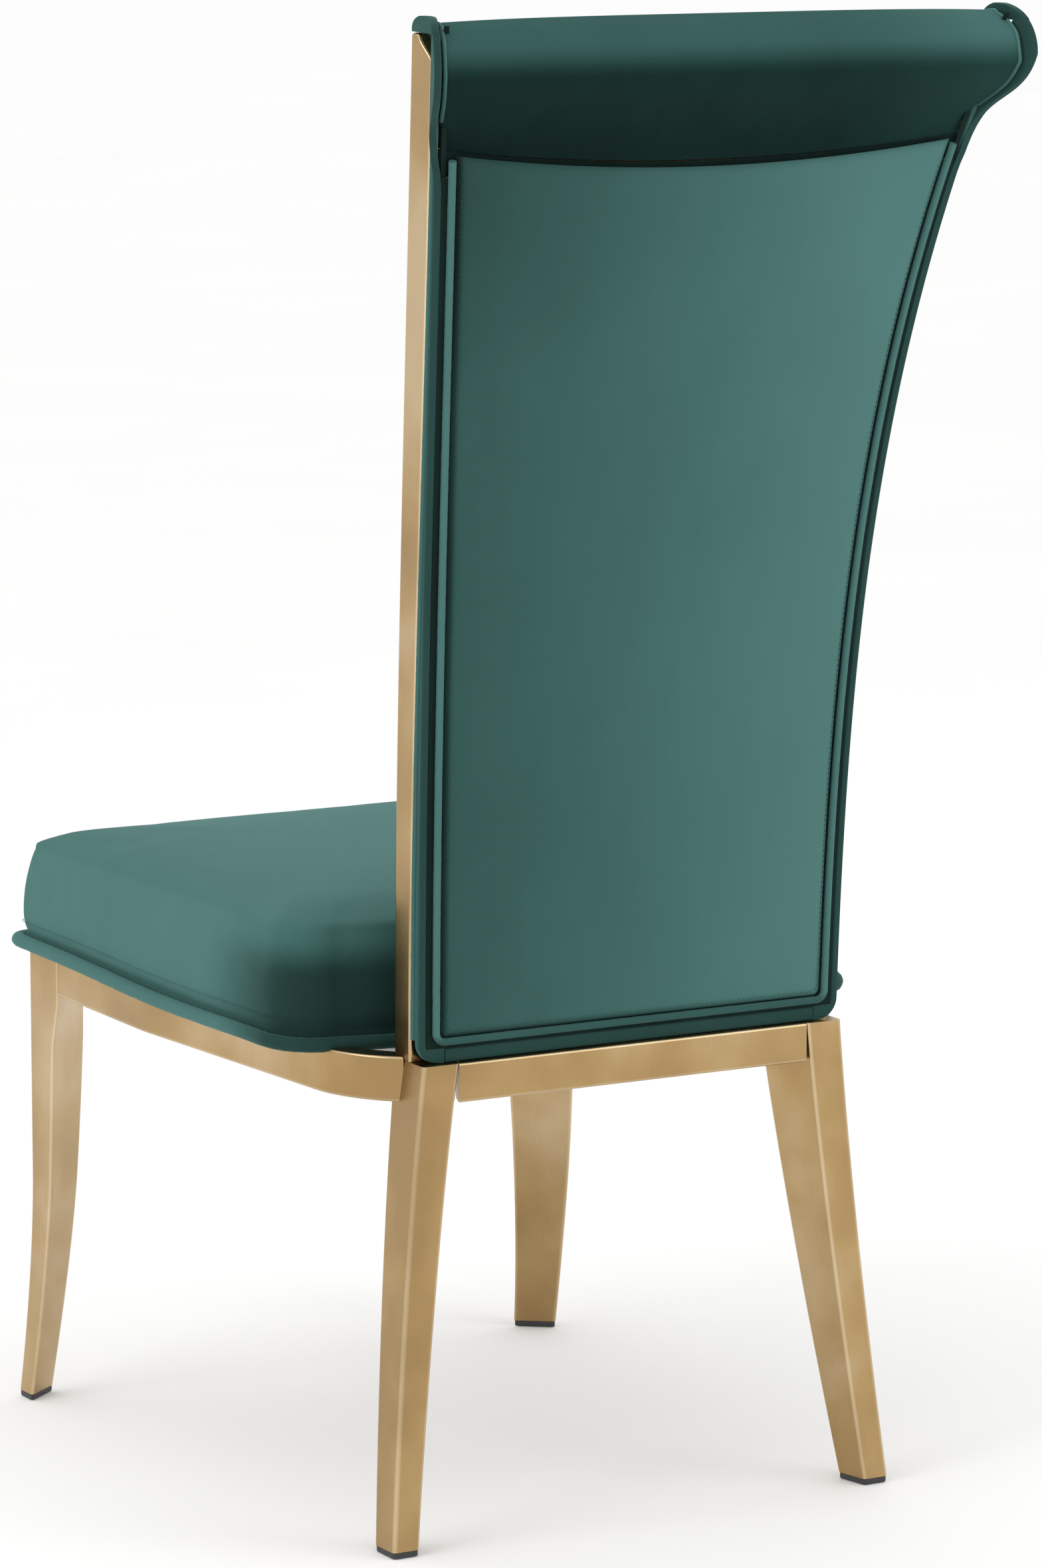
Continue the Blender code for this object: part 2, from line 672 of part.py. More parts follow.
def border_ring(z):
    """One height of the side border: it starts behind the post and ends at the rear line."""
    bottom = REAR_RAIL_TOP + 0.0005
    rear = scroll_rear(z)
    front = back_front(z) + band_start(z) + 2 * PIPING_R + 0.0009
    if z > POST_TOP + 0.0005:
        rise = (z - POST_TOP) / (SCROLL_MIDDLE[1] + SCROLL_RISE - POST_TOP + GAP)
        front = CAP_FRONT[1] - (CAP_FRONT[1] - CAP_FRONT[0]) * sqrt(1 - rise * rise)
        rear = rear + 0.0005
    outer_front = outer_half(front, z)
    outer_rear = outer_half(rear, z)
    inward = BORDER_THICK
    if z < 0.3770:
        inward = BORDER_FOOT
    near = z - bottom
    if near < BORDER_CORNER_R:
        trim = BORDER_CORNER_R - sqrt(BORDER_CORNER_R**2 - (BORDER_CORNER_R - near) ** 2)
        outer_front -= trim
        outer_rear -= trim
    inner_front = (back_half(z) if inward == BORDER_FOOT else outer_front) - inward
    inner_rear = (back_half(z) if inward == BORDER_FOOT else outer_rear) - inward
    return [(inner_front, front), (outer_front, front), (outer_rear, rear), (inner_rear, rear)]


def borders():
    """Upholstered bands round the edge of the back, behind the posts and over the scroll's ends."""
    bottom = REAR_RAIL_TOP + 0.0005
    heights = [bottom, bottom + 0.002, bottom + 0.005, 0.3755, 0.3771, 0.3785, 0.3825]
    heights += spread(0.42, SCROLL_START, 12) + spread(1.040, 1.110, 9)
    heights += [1.114, 1.118, 1.121, 1.124, POST_TOP + 0.0003, POST_TOP + 0.0009]
    heights += [1.1325, 1.1370, 1.1395, SCROLL_MIDDLE[1] + SCROLL_RISE]
    for word, side in SIDES:
        rings = [mirrored(at_height(border_ring(z), z), side) for z in heights]
        loft(f"back_border_{word}", rings, VELVET)
        line = []
        for z in spread(0.3835, 1.1215, 30):
            y = back_front(z) + band_start(z) + PIPING_R + 0.0005
            line.append(Vector(((back_half(z) - PIPING_R + 0.0010) * side, y, z)))
        piping(f"border_piping_{word}", line, PIPING_R, False)
    half = back_half(0.37) - BORDER_FOOT - 0.0008
    rings = []
    for side in (1, -1):
        ring = []
        corners = ((bottom, 0.0315), (0.3765, 0.0315), (0.3765, PANEL_DEPTH), (bottom, PANEL_DEPTH))
        for z, depth in corners:
            ring.append(Vector((half * side, back_front(z) + depth, z)))
        rings.append(ring)
    loft("back_border_bottom", rings, VELVET)


def scroll_outline():
    """The scroll from the side, as y and z, round from its lower front corner."""
    seam_front = back_front(SCROLL_SEAM) - 0.016
    outline = [(seam_front, SCROLL_SEAM)]
    crest = SCROLL_MIDDLE[1] + SCROLL_RISE - ROLL_INSET
    for i in range(1, 9):
        turn = pi / 2 * i / 8
        y = SCROLL_MIDDLE[0] - (SCROLL_MIDDLE[0] - seam_front - 0.008) * cos(turn)
        outline.append((y, SCROLL_SEAM + 0.035 + (crest - SCROLL_SEAM - 0.035) * sin(turn)))
    for z in (crest - 0.0012, crest - 0.005, crest - 0.011, crest - 0.018):
        outline.append((scroll_rear(z + ROLL_INSET) - ROLL_INSET, z))
    for z in spread(SCROLL_MIDDLE[1] - 0.004, SCROLL_SEAM + 0.002, 9):
        outline.append((scroll_rear(z) - ROLL_INSET, z))
    outline.append((back_front(SCROLL_SEAM) + 0.020, SCROLL_SEAM - 0.001))
    return outline


def scroll():
    outline = scroll_outline()
    rings = []
    for s in spread(-1, 1, 9):
        ring = []
        for y, z in outline:
            sag = 0.014 * (1 - s * s) * smooth((1.075 - z) / 0.035) * smooth((y - 0.292) / 0.012)
            half = outer_half(y, z) - BORDER_THICK - 0.0028
            if y < back_front(z) + 0.001:
                half = back_half(z) - POST_WIDTH - 0.0006
            crown = ROLL_CROWN * (1 - s**4) * smooth((z - 1.10) / 0.03)
            ring.append(Vector((s * half, y, z - sag + crown)))
        rings.append(ring)
    roll = loft("back_scroll", rings, VELVET)
    for word, side in SIDES:
        heights = spread(1.0, POST_TOP + GAP, 7)
        rings = [mirrored(at_height(post_ring(z, 0.0004), z), side) for z in heights]
        cut(roll, as_cutter(loft(f"post_clearance_{word}", rings, GOLD)))
        line = []
        for z in spread(1.0, 1.1275, 8):
            y = back_front(z) + band_start(z) + PIPING_R + 0.0005
            line.append(Vector((back_half(z) * side, y, z)))
        bands = [[Vector((p.x + dx * side, p.y + dy, p.z)) for dx, dy in
                  ((-0.0070, -0.0036), (0.004, -0.0036), (0.004, 0.0036), (-0.0070, 0.0036))] for p in line]
        cut(roll, as_cutter(loft(f"piping_clearance_{word}", bands, GOLD)))


clear_scene()
parts = new_collection("dining_chair")
cutters = new_collection("cutters")
legs_and_glides()
side_rails()
cross_rails()
corner_plates(seat_parts())
dust_cover()
back_posts()
back_panels()
borders()
scroll()
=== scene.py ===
from math import ceil, cos, exp, pi, radians, sin, sqrt

import bmesh
import bpy
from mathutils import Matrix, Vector, kdtree


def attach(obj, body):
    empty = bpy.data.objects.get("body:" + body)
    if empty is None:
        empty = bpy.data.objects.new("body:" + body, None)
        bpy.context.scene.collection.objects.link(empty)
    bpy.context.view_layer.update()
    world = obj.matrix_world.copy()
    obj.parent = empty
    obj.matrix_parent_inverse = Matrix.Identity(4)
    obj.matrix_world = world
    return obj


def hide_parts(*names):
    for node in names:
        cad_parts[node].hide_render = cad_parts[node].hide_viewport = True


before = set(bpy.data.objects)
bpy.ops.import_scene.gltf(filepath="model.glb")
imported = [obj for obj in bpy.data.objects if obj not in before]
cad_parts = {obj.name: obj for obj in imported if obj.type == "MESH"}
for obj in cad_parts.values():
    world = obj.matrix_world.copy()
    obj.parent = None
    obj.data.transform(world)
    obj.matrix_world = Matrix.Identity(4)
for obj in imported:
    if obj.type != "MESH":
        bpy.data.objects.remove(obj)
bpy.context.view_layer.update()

sides = (("left", 1), ("right", -1))


# Shapes shared by several pieces. Metres, +Z up, the chair faces -Y.

rail = {"bottom": 0.3425, "top": 0.3725, "rearBottom": 0.3355, "rearTop": 0.3655, "width": 0.020,
        "slope": 0.0185, "slopeStart": -0.280, "taperY": -0.130, "taper": 0.088,
        "cornerY": 0.112, "cornerRadius": 0.090, "endY": 0.1814, "wrap": 0.0026, "rise": 0.0044}
frontLeg = {"outerX": 0.2437, "frontY": -0.330, "kick": 0.022, "splay": 0.0035,
            "foot": (0.031, 0.0235), "size": (0.049, 0.041), "taperTop": 0.30, "flare": 0.011}
rearLeg = {"footX": 0.219, "kick": 0.033, "depth": 0.045, "footDepth": 0.029,
           "width": (0.048, 0.030), "footWidth": (0.027, 0.0215)}
back = {"start": 0.368, "rise": 0.652, "front": (0.166, 0.018, 0.0365, 0.0418),
        "half": (0.1830, 0.0085, 0.0, 0.0312), "panelDepth": 0.0383}
post = {"width": 0.022, "depth": 0.024, "deeper": 0.006, "top": 1.1283, "tip": 0.020}
scroll = {"line": ((0.3040, 1.0300), (0.3103, 1.0773), (0.3467, 1.0649), (0.3567, 1.1042)),
          "middle": (0.3271, 1.1042), "reach": 0.0296, "rise": 0.0363, "flare": 0.44,
          "capFront": (0.3035, 0.3225), "seam": 1.043, "inset": 0.005, "crown": 0.0025}
cord = {"back": 0.0028, "seat": 0.0056}


def spread(start, end, count):
    return [start + (end - start) * i / (count - 1) for i in range(count)]


def ease(t):
    t = max(0.0, min(1.0, t))
    return t * t * (3 - 2 * t)


def between(start, end, t):
    return [low + (high - low) * t for low, high in zip(start, end)]


def curveAt(terms, z):
    t = (z - back["start"]) / back["rise"]
    return sum(term * t**power for power, term in enumerate(terms))


def backFront(z):
    return curveAt(back["front"], z)


def backHalf(z):
    return curveAt(back["half"], z)


def bandStart(z):
    return post["depth"] + post["deeper"] * ease((z - back["start"]) / back["rise"])


def postDepth(z):
    return bandStart(z) - post["tip"] * ease((z - 1.106) / (post["top"] - 1.106))


def scrollLine(t):
    weights = ((1 - t) ** 3, 3 * t * (1 - t) ** 2, 3 * t * t * (1 - t), t**3)
    return [sum(w * p[axis] for w, p in zip(weights, scroll["line"])) for axis in (0, 1)]


def scrollRear(z):
    if z <= scroll["line"][0][1]:
        return backFront(z) + back["panelDepth"]
    if z >= scroll["middle"][1]:
        rise = min(1.0, (z - scroll["middle"][1]) / scroll["rise"])
        return scroll["middle"][0] + scroll["reach"] * sqrt(1 - rise * rise)
    low, high = 0.0, 1.0
    for _ in range(30):
        middle = (low + high) / 2
        if scrollLine(middle)[1] < z:
            low = middle
        else:
            high = middle
    return scrollLine(low)[0]


def outerHalf(y, z):
    behind = y - backFront(z) - 0.0265  # the scroll's ends flare to the rear
    return backHalf(z) + scroll["flare"] * ease((z - 1.015) / 0.045) * max(0.0, behind)


def sloped(point):
    return Vector((point[0], point[1], point[2] - rail["slope"] * (point[1] - rail["slopeStart"])))


def mirrored(ring, side):
    return [Vector((p[0] * side, p[1], p[2])) for p in ring]


def rounded(corners, reach, steps=4, hold=0.0006):
    points, edge = [], []
    count = len(corners)
    for i, corner in enumerate(corners):
        corner = Vector(corner)
        before = Vector(corners[i - 1]) - corner
        after = Vector(corners[(i + 1) % count]) - corner
        size = reach[i] if isinstance(reach, (list, tuple)) else reach
        size = min(size, before.length * 0.42, after.length * 0.42)
        first = corner + before.normalized() * size
        last = corner + after.normalized() * size
        points.append(corner + before.normalized() * (size + min(hold, size * 0.15)))
        edge.append(0.0)
        for k in range(steps + 1):
            t = k / steps
            points.append(first * (1 - t) ** 2 + corner * 2 * t * (1 - t) + last * t * t)
            edge.append(sin(pi * t))
        points.append(corner + after.normalized() * (size + min(hold, size * 0.15)))
        edge.append(0.0)
    return points, edge


def throughPoints(points, step):
    made = []
    count = len(points)
    for i in range(count - 1):
        p1, p2 = Vector(points[i]), Vector(points[i + 1])
        p0 = Vector(points[i - 1]) if i else p1 * 2 - p2
        p3 = Vector(points[i + 2]) if i + 2 < count else p2 * 2 - p1
        pieces = max(1, ceil((p2 - p1).length / step))
        for k in range(pieces):
            t = k / pieces
            made.append(0.5 * (2 * p1 + (p2 - p0) * t + (2 * p0 - 5 * p1 + 4 * p2 - p3) * t * t
                               + (3 * p1 - p0 - 3 * p2 + p3) * t**3))
    made.append(Vector(points[-1]))
    return made


# Materials.

def node(tree, kind, inputs=None, **settings):
    made = tree.nodes.new(kind)
    for key, value in settings.items():
        setattr(made, key, value)
    for key, value in (inputs or {}).items():
        if isinstance(value, bpy.types.NodeSocket):
            tree.links.new(value, made.inputs[key])
        else:
            made.inputs[key].default_value = value
    return made


def newMaterial(name, **constants):
    made = bpy.data.materials.new(name)
    made.use_nodes = True
    tree = made.node_tree
    shader = tree.nodes["Principled BSDF"]
    for key, value in constants.items():
        shader.inputs[key.replace("_", " ")].default_value = value
    where = node(tree, "ShaderNodeTexCoord").outputs["Object"]
    return made, tree, shader, where


def noiseOf(tree, where, scale, detail=2.0, roughness=0.5):
    made = node(tree, "ShaderNodeTexNoise", {"Vector": where, "Scale": scale, "Detail": detail,
                                             "Roughness": roughness})
    return made.outputs["Fac"]


def sumOf(tree, first, second, factor):
    made = node(tree, "ShaderNodeMath", {0: second, 1: factor, 2: first}, operation="MULTIPLY_ADD")
    return made.outputs[0]


def maths(tree, operation, first, second):
    return node(tree, "ShaderNodeMath", {0: first, 1: second}, operation=operation).outputs[0]


def rampOf(tree, value, stops):
    made = node(tree, "ShaderNodeValToRGB", {"Fac": value})
    ramp = made.color_ramp
    while len(ramp.elements) < len(stops):
        ramp.elements.new(0.5)
    for element, (place, colour) in zip(ramp.elements, stops):
        element.position = place
        element.color = (*colour, 1)
    return made.outputs["Color"]


def relief(tree, shader, height, strength, distance):
    bump = node(tree, "ShaderNodeBump", {"Height": height, "Strength": strength, "Distance": distance})
    tree.links.new(bump.outputs[0], shader.inputs["Normal"])


def roughen(tree, shader, value, reach, start=(0.0, 1.0)):
    made = node(tree, "ShaderNodeMapRange", {"Value": value, "From Min": start[0], "From Max": start[1],
                                             "To Min": reach[0], "To Max": reach[1]})
    tree.links.new(made.outputs[0], shader.inputs["Roughness"])


velvetLook = {"dark": (0.0030, 0.0120, 0.0100), "low": (0.0140, 0.0460, 0.0400),
              "middle": (0.0330, 0.0960, 0.0870), "light": (0.0720, 0.1800, 0.1660),
              "sheen": 0.16, "sheenRoughness": 0.42, "sheenTint": (0.42, 0.80, 0.74, 1),
              "patches": 0.16, "strokes": 0.07, "pile": 1500.0}


def velvet(name="green_velvet_cloth", shade=1.0, sheen=1.0):
    made, tree, shader, where = newMaterial(
        name, Roughness=0.92, Specular_IOR_Level=0.18, Sheen_Weight=velvetLook["sheen"] * sheen,
        Sheen_Roughness=velvetLook["sheenRoughness"], Sheen_Tint=velvetLook["sheenTint"])
    # The paintedLight attribute is painted light and shade, set per piece; the noise below adds random tone
    # on top of it.
    paintedLight = node(tree, "ShaderNodeAttribute", attribute_name="paintedLight").outputs["Fac"]
    patches = noiseOf(tree, where, 5.0, 3.0)
    stretched = node(tree, "ShaderNodeMapping", {"Vector": where, "Scale": (34, 34, 9)}).outputs[0]
    strokes = noiseOf(tree, stretched, 1.0, 3.0)
    pile = noiseOf(tree, where, velvetLook["pile"], 1.0)
    value = sumOf(tree, paintedLight, patches, velvetLook["patches"])
    value = sumOf(tree, value, strokes, velvetLook["strokes"])
    value = sumOf(tree, value, pile, 0.10)
    offset = (velvetLook["patches"] + velvetLook["strokes"] + 0.10) / 2
    value = maths(tree, "SUBTRACT", value, offset)
    stops = [(place, tuple(c * shade for c in velvetLook[key]))
             for place, key in ((0.0, "dark"), (0.25, "low"), (0.55, "middle"), (1.0, "light"))]
    colour = rampOf(tree, value, stops)
    tree.links.new(colour, shader.inputs["Base Color"])
    height = sumOf(tree, pile, strokes, 0.6)
    relief(tree, shader, height, 0.30, 0.0005)
    return made


# The edge colour is a painted highlight on the rounded edges of the tubes.
goldLook = {"deep": (0.350, 0.228, 0.100), "main": (0.445, 0.298, 0.134), "pale": (0.560, 0.418, 0.245),
            "edge": (0.78, 0.64, 0.44), "roughness": (0.24, 0.36)}


def gold(name="polished_gold_metal"):
    made, tree, shader, where = newMaterial(name, Metallic=1.0)
    clouds = noiseOf(tree, where, 7.0, 3.0)
    drawn = node(tree, "ShaderNodeMapping", {"Vector": where, "Scale": (420, 420, 60)}).outputs[0]
    lines = noiseOf(tree, drawn, 1.0, 3.0)
    tone = sumOf(tree, clouds, lines, 0.05)
    colour = rampOf(tree, tone, ((0.38, goldLook["deep"]), (0.52, goldLook["main"]),
                                 (0.68, goldLook["pale"])))
    # Painted highlight: the rounded edges are mixed patchily towards the pale edge colour.
    edge = node(tree, "ShaderNodeAttribute", attribute_name="edge").outputs["Fac"]
    edgeHighlight = maths(tree, "MULTIPLY", edge, clouds)
    mixed = node(tree, "ShaderNodeMix", {"Factor": edgeHighlight, "A": colour, "B": (*goldLook["edge"], 1)},
                 data_type="RGBA")
    colours = [s for s in mixed.outputs if s.type == "RGBA"][0]
    tree.links.new(colours, shader.inputs["Base Color"])
    roughen(tree, shader, tone, goldLook["roughness"], (0.35, 0.85))
    relief(tree, shader, lines, 0.02, 0.0002)
    return made


def plywood():
    made, tree, shader, where = newMaterial("plywood_birch", Roughness=0.65)
    grain = node(tree, "ShaderNodeMapping", {"Vector": where, "Scale": (9, 90, 90)}).outputs[0]
    rings = noiseOf(tree, grain, 1.0, 5.0, 0.6)
    colour = rampOf(tree, rings, ((0.30, (0.36, 0.23, 0.12)), (0.55, (0.55, 0.39, 0.22)),
                                  (0.75, (0.66, 0.50, 0.31))))
    tree.links.new(colour, shader.inputs["Base Color"])
    relief(tree, shader, rings, 0.15, 0.0006)
    return made


def nylon():
    made, tree, shader, where = newMaterial("black_nylon_moulded")
    grain = noiseOf(tree, where, 700.0, 2.0)
    colour = rampOf(tree, grain, ((0.3, (0.018, 0.018, 0.019)), (0.7, (0.040, 0.040, 0.042))))
    tree.links.new(colour, shader.inputs["Base Color"])
    roughen(tree, shader, grain, (0.38, 0.62))
    relief(tree, shader, grain, 0.2, 0.0003)
    return made


def lining():
    made, tree, shader, where = newMaterial("black_lining_cloth", Roughness=0.95)
    across = node(tree, "ShaderNodeTexWave", {"Vector": where, "Scale": 160.0, "Distortion": 0.6},
                  bands_direction="X").outputs["Fac"]
    along = node(tree, "ShaderNodeTexWave", {"Vector": where, "Scale": 160.0, "Distortion": 0.6},
                 bands_direction="Y").outputs["Fac"]
    weave = maths(tree, "MULTIPLY", across, along)
    colour = rampOf(tree, weave, ((0.1, (0.010, 0.010, 0.011)), (0.9, (0.034, 0.034, 0.036))))
    tree.links.new(colour, shader.inputs["Base Color"])
    relief(tree, shader, weave, 0.35, 0.0004)
    return made


def zinc():
    made, tree, shader, where = newMaterial("zinc_steel_plate", Metallic=1.0)
    spangle = node(tree, "ShaderNodeTexVoronoi", {"Vector": where, "Scale": 160.0}).outputs["Color"]
    tone = node(tree, "ShaderNodeRGBToBW", {"Color": spangle}).outputs[0]
    colour = rampOf(tree, tone, ((0.2, (0.46, 0.47, 0.48)), (0.8, (0.66, 0.67, 0.68))))
    tree.links.new(colour, shader.inputs["Base Color"])
    roughen(tree, shader, tone, (0.28, 0.46))
    return made


velvetCloth = velvet()
velvetCord = velvet("green_velvet_cord", 0.95, 1.3)
# The roll gets a darker copy of the velvet with little sheen: painted shade.
velvetShade = velvet("green_velvet_roll_shaded", 0.82, 0.15)
velvetShade.node_tree.nodes["Principled BSDF"].inputs["Specular IOR Level"].default_value = 0.06
goldMetal = gold()
birch = plywood()
blackNylon = nylon()
blackLining = lining()
zincSteel = zinc()
print("materials made")


# Making and finishing a piece.

def newObject(name, mesh):
    obj = bpy.data.objects.new(name, mesh)
    bpy.context.scene.collection.objects.link(obj)
    return obj


def meshFrom(name, points, faces, finish, marks=None, sharp=None):
    mesh = bpy.data.meshes.new(name)
    mesh.from_pydata([tuple(p) for p in points], [], faces)
    if marks:
        for label, values in marks.items():
            layer = mesh.attributes.new(label, "FLOAT", "POINT")
            layer.data.foreach_set("value", values)
    tidy = bmesh.new()
    tidy.from_mesh(mesh)
    bmesh.ops.recalc_face_normals(tidy, faces=tidy.faces)
    tidy.to_mesh(mesh)
    tidy.free()
    mesh.polygons.foreach_set("use_smooth", [True] * len(mesh.polygons))
    if sharp:
        mesh.set_sharp_from_angle(angle=radians(sharp))
    if finish:
        mesh.materials.append(finish)
    return newObject(name, mesh)


def ringFaces(rings, size):
    faces = []
    for i in range(rings - 1):
        for j in range(size):
            k = (j + 1) % size
            faces.append((i * size + j, i * size + k, (i + 1) * size + k, (i + 1) * size + j))
    return faces + [tuple(range(size)), tuple((rings - 1) * size + j for j in range(size))]


def metalLoft(name, rings, reach, steps=4):
    points, edges = [], []
    for ring in rings:
        placed, edge = rounded(ring, reach, steps)
        points += placed
        edges += edge
    size = len(points) // len(rings)
    return meshFrom(name, points, ringFaces(len(rings), size), goldMetal,
                    {"edge": edges}, sharp=42)


def settle(obj):
    bpy.context.view_layer.update()
    graph = bpy.context.evaluated_depsgraph_get()
    mesh = bpy.data.meshes.new_from_object(obj.evaluated_get(graph))
    obj.modifiers.clear()
    obj.data = mesh
    return obj


def declare(obj, replaced=()):
    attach(obj, "root")
    if replaced:
        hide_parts(*replaced)
    return obj


def mark(obj, label, rule):
    layer = obj.data.attributes.get(label) or obj.data.attributes.new(label, "FLOAT", "POINT")
    layer.data.foreach_set("value", [max(0.0, min(1.0, rule(v.co))) for v in obj.data.vertices])
    return obj


# Each velvet piece gets its painted light and shade as a value at each point.
def declareVelvet(obj, paintedLight, replaced=()):
    return declare(mark(obj, "paintedLight", paintedLight), replaced)


# Geometry Nodes trees, for what follows a line or repeats.

def newTree(name, sockets):
    tree = bpy.data.node_groups.new(name, "GeometryNodeTree")
    face = tree.interface
    face.new_socket("Geometry", in_out="INPUT", socket_type="NodeSocketGeometry")
    for label, kind in sockets:
        face.new_socket(label, in_out="INPUT", socket_type=kind)
    face.new_socket("Geometry", in_out="OUTPUT", socket_type="NodeSocketGeometry")
    return tree, tree.nodes.new("NodeGroupInput").outputs, tree.nodes.new("NodeGroupOutput")


def endTree(tree, shape, material, end):
    real = node(tree, "GeometryNodeRealizeInstances", {"Geometry": shape}).outputs[0]
    soft = node(tree, "GeometryNodeSetShadeSmooth", {"Geometry": real}).outputs[0]
    done = node(tree, "GeometryNodeSetMaterial", {"Geometry": soft, "Material": material})
    tree.links.new(done.outputs[0], end.inputs[0])
    return tree


def cordTree():
    tree, given, end = newTree("coveredCord", (
        ("Radius", "NodeSocketFloat"), ("Spacing", "NodeSocketFloat"), ("Sides", "NodeSocketInt"),
        ("Pucker", "NodeSocketFloat"), ("Material", "NodeSocketMaterial")))
    path = node(tree, "GeometryNodeMeshToCurve", {"Mesh": given["Geometry"]}).outputs[0]
    path = node(tree, "GeometryNodeResampleCurve", {"Curve": path, "Length": given["Spacing"]},
                mode="LENGTH").outputs[0]
    round_ = node(tree, "GeometryNodeCurvePrimitiveCircle",
                  {"Resolution": given["Sides"], "Radius": given["Radius"]}).outputs[0]
    skin = node(tree, "GeometryNodeCurveToMesh", {"Curve": path, "Profile Curve": round_,
                                                  "Fill Caps": True}).outputs[0]
    where = node(tree, "GeometryNodeInputPosition").outputs[0]
    grain = node(tree, "ShaderNodeTexNoise", {"Vector": where, "Scale": 260.0, "Detail": 1.0}).outputs["Fac"]
    grain = maths(tree, "SUBTRACT", grain, 0.5)
    grain = maths(tree, "MULTIPLY", grain, given["Pucker"])
    out = node(tree, "GeometryNodeInputNormal").outputs[0]
    move = node(tree, "ShaderNodeVectorMath", {0: out, "Scale": grain}, operation="SCALE").outputs[0]
    skin = node(tree, "GeometryNodeSetPosition", {"Geometry": skin, "Offset": move}).outputs[0]
    return endTree(tree, skin, given["Material"], end)


def stitchTree():
    tree, given, end = newTree("stitchRow", (
        ("Pitch", "NodeSocketFloat"), ("Size", "NodeSocketVector"), ("Seed", "NodeSocketInt"),
        ("Material", "NodeSocketMaterial")))
    path = node(tree, "GeometryNodeMeshToCurve", {"Mesh": given["Geometry"]}).outputs[0]
    points = node(tree, "GeometryNodeCurveToPoints", {"Curve": path, "Length": given["Pitch"]},
                  mode="LENGTH").outputs
    thread = node(tree, "GeometryNodeMeshIcoSphere", {"Radius": 0.5, "Subdivisions": 2}).outputs[0]
    uneven = node(tree, "FunctionNodeRandomValue", {"Min": (0.9, 0.9, 0.88), "Max": (1.1, 1.1, 1.08),
                                                    "Seed": given["Seed"]},
                  data_type="FLOAT_VECTOR").outputs[0]
    size = node(tree, "ShaderNodeVectorMath", {0: given["Size"], 1: uneven}, operation="MULTIPLY").outputs[0]
    placed = node(tree, "GeometryNodeInstanceOnPoints",
                  {"Points": points["Points"], "Instance": thread, "Rotation": points["Rotation"],
                   "Scale": size}).outputs[0]
    return endTree(tree, placed, given["Material"], end)


trees = {"cord": cordTree(), "stitch": stitchTree()}


def runTree(name, lines, tree, values, closed=False):
    points, joins = [], []
    for line in lines:
        first = len(points)
        points += [tuple(p) for p in line]
        joins += [(first + i, first + i + 1) for i in range(len(line) - 1)]
        if closed:
            joins.append((first + len(line) - 1, first))
    mesh = bpy.data.meshes.new(name)
    mesh.from_pydata(points, joins, [])
    obj = newObject(name, mesh)
    modifier = obj.modifiers.new(tree.name, "NODES")
    modifier.node_group = tree
    for item in tree.interface.items_tree:
        if item.item_type == "SOCKET" and item.in_out == "INPUT" and item.name in values:
            modifier[item.identifier] = values[item.name]
    return settle(obj)


def coveredCord(name, lines, radius, closed=False, sides=16):
    return runTree(name, lines, trees["cord"], {
        "Radius": radius, "Spacing": radius * 0.75, "Sides": sides, "Pucker": radius * 0.16,
        "Material": velvetCord}, closed)


def stitches(name, lines, pitch, size, closed=False, finish=None):
    return runTree(name, lines, trees["stitch"], {
        "Pitch": pitch, "Size": size, "Seed": 4, "Material": finish or velvetCord}, closed)


# Cloth: the cover is blown up under pressure, and the move at each point is kept.

def clothMoves(obj, settings, held):
    even = obj.modifiers.new("even", "REMESH")
    even.mode = "VOXEL"
    even.voxel_size = settings["voxel"]
    settle(obj)
    starts = [v.co.copy() for v in obj.data.vertices]
    group = obj.vertex_groups.new(name="held")
    for i, point in enumerate(starts):
        group.add([i], max(0.0, min(1.0, held(point))), "REPLACE")
    cloth = obj.modifiers.new("cloth", "CLOTH")
    cloth.settings.quality = 5
    cloth.settings.mass = 0.3
    cloth.settings.tension_stiffness = settings["stiff"]
    cloth.settings.compression_stiffness = settings["stiff"]
    cloth.settings.shear_stiffness = settings["stiff"] * 0.4
    cloth.settings.bending_stiffness = settings["bend"]
    cloth.settings.use_pressure = True
    cloth.settings.uniform_pressure_force = settings["pressure"]
    cloth.settings.vertex_group_mass = "held"
    cloth.settings.effector_weights.gravity = 0
    cloth.collision_settings.use_collision = False
    cloth.point_cache.frame_end = settings["frames"]
    for step in range(1, settings["frames"] + 1):
        bpy.context.scene.frame_set(step)
    settle(obj)
    bpy.context.scene.frame_set(1)
    tree = kdtree.KDTree(len(starts))
    moves = []
    for i, (start, vertex) in enumerate(zip(starts, obj.data.vertices)):
        tree.insert(start, i)
        move = vertex.co - start
        if move.length > settings["cap"]:
            move = move * (settings["cap"] / move.length)
        moves.append(move)
    tree.balance()
    bpy.data.objects.remove(obj)
    print("cloth", len(starts), "points, largest move", round(max(m.length for m in moves) * 1000, 2), "mm")
    return tree, moves


def blowUp(obj, settings, held):
    copy = newObject(obj.name + "_cloth", obj.data.copy())
    tree, moves = clothMoves(copy, settings, held)
    for vertex in obj.data.vertices:
        total, weight = Vector((0, 0, 0)), 0.0
        for _, index, distance in tree.find_n(vertex.co, 8):
            share = 1 / (distance + 0.002) ** 2
            total += moves[index] * share
            weight += share
        vertex.co = vertex.co + total / weight * settings["share"]
    return obj


# Camera, floor and light.

studio = {"place": (2.4453, 4.2630, 1.3219), "aim": (-0.0440, -0.0381, 0.5244), "lens": 147.55,
          "sky": 0.98, "floor": (0.88, 0.88, 0.875), "floorReach": 20, "floorLevel": -0.0004}


def softBox(name, place, aim, size, power):
    data = bpy.data.lights.new(name, "AREA")
    data.shape = "RECTANGLE"
    data.size, data.size_y = size
    data.energy = power
    obj = bpy.data.objects.new(name, data)
    obj.location = place
    obj.rotation_euler = (Vector(aim) - Vector(place)).to_track_quat("-Z", "Y").to_euler()
    bpy.context.scene.collection.objects.link(obj)


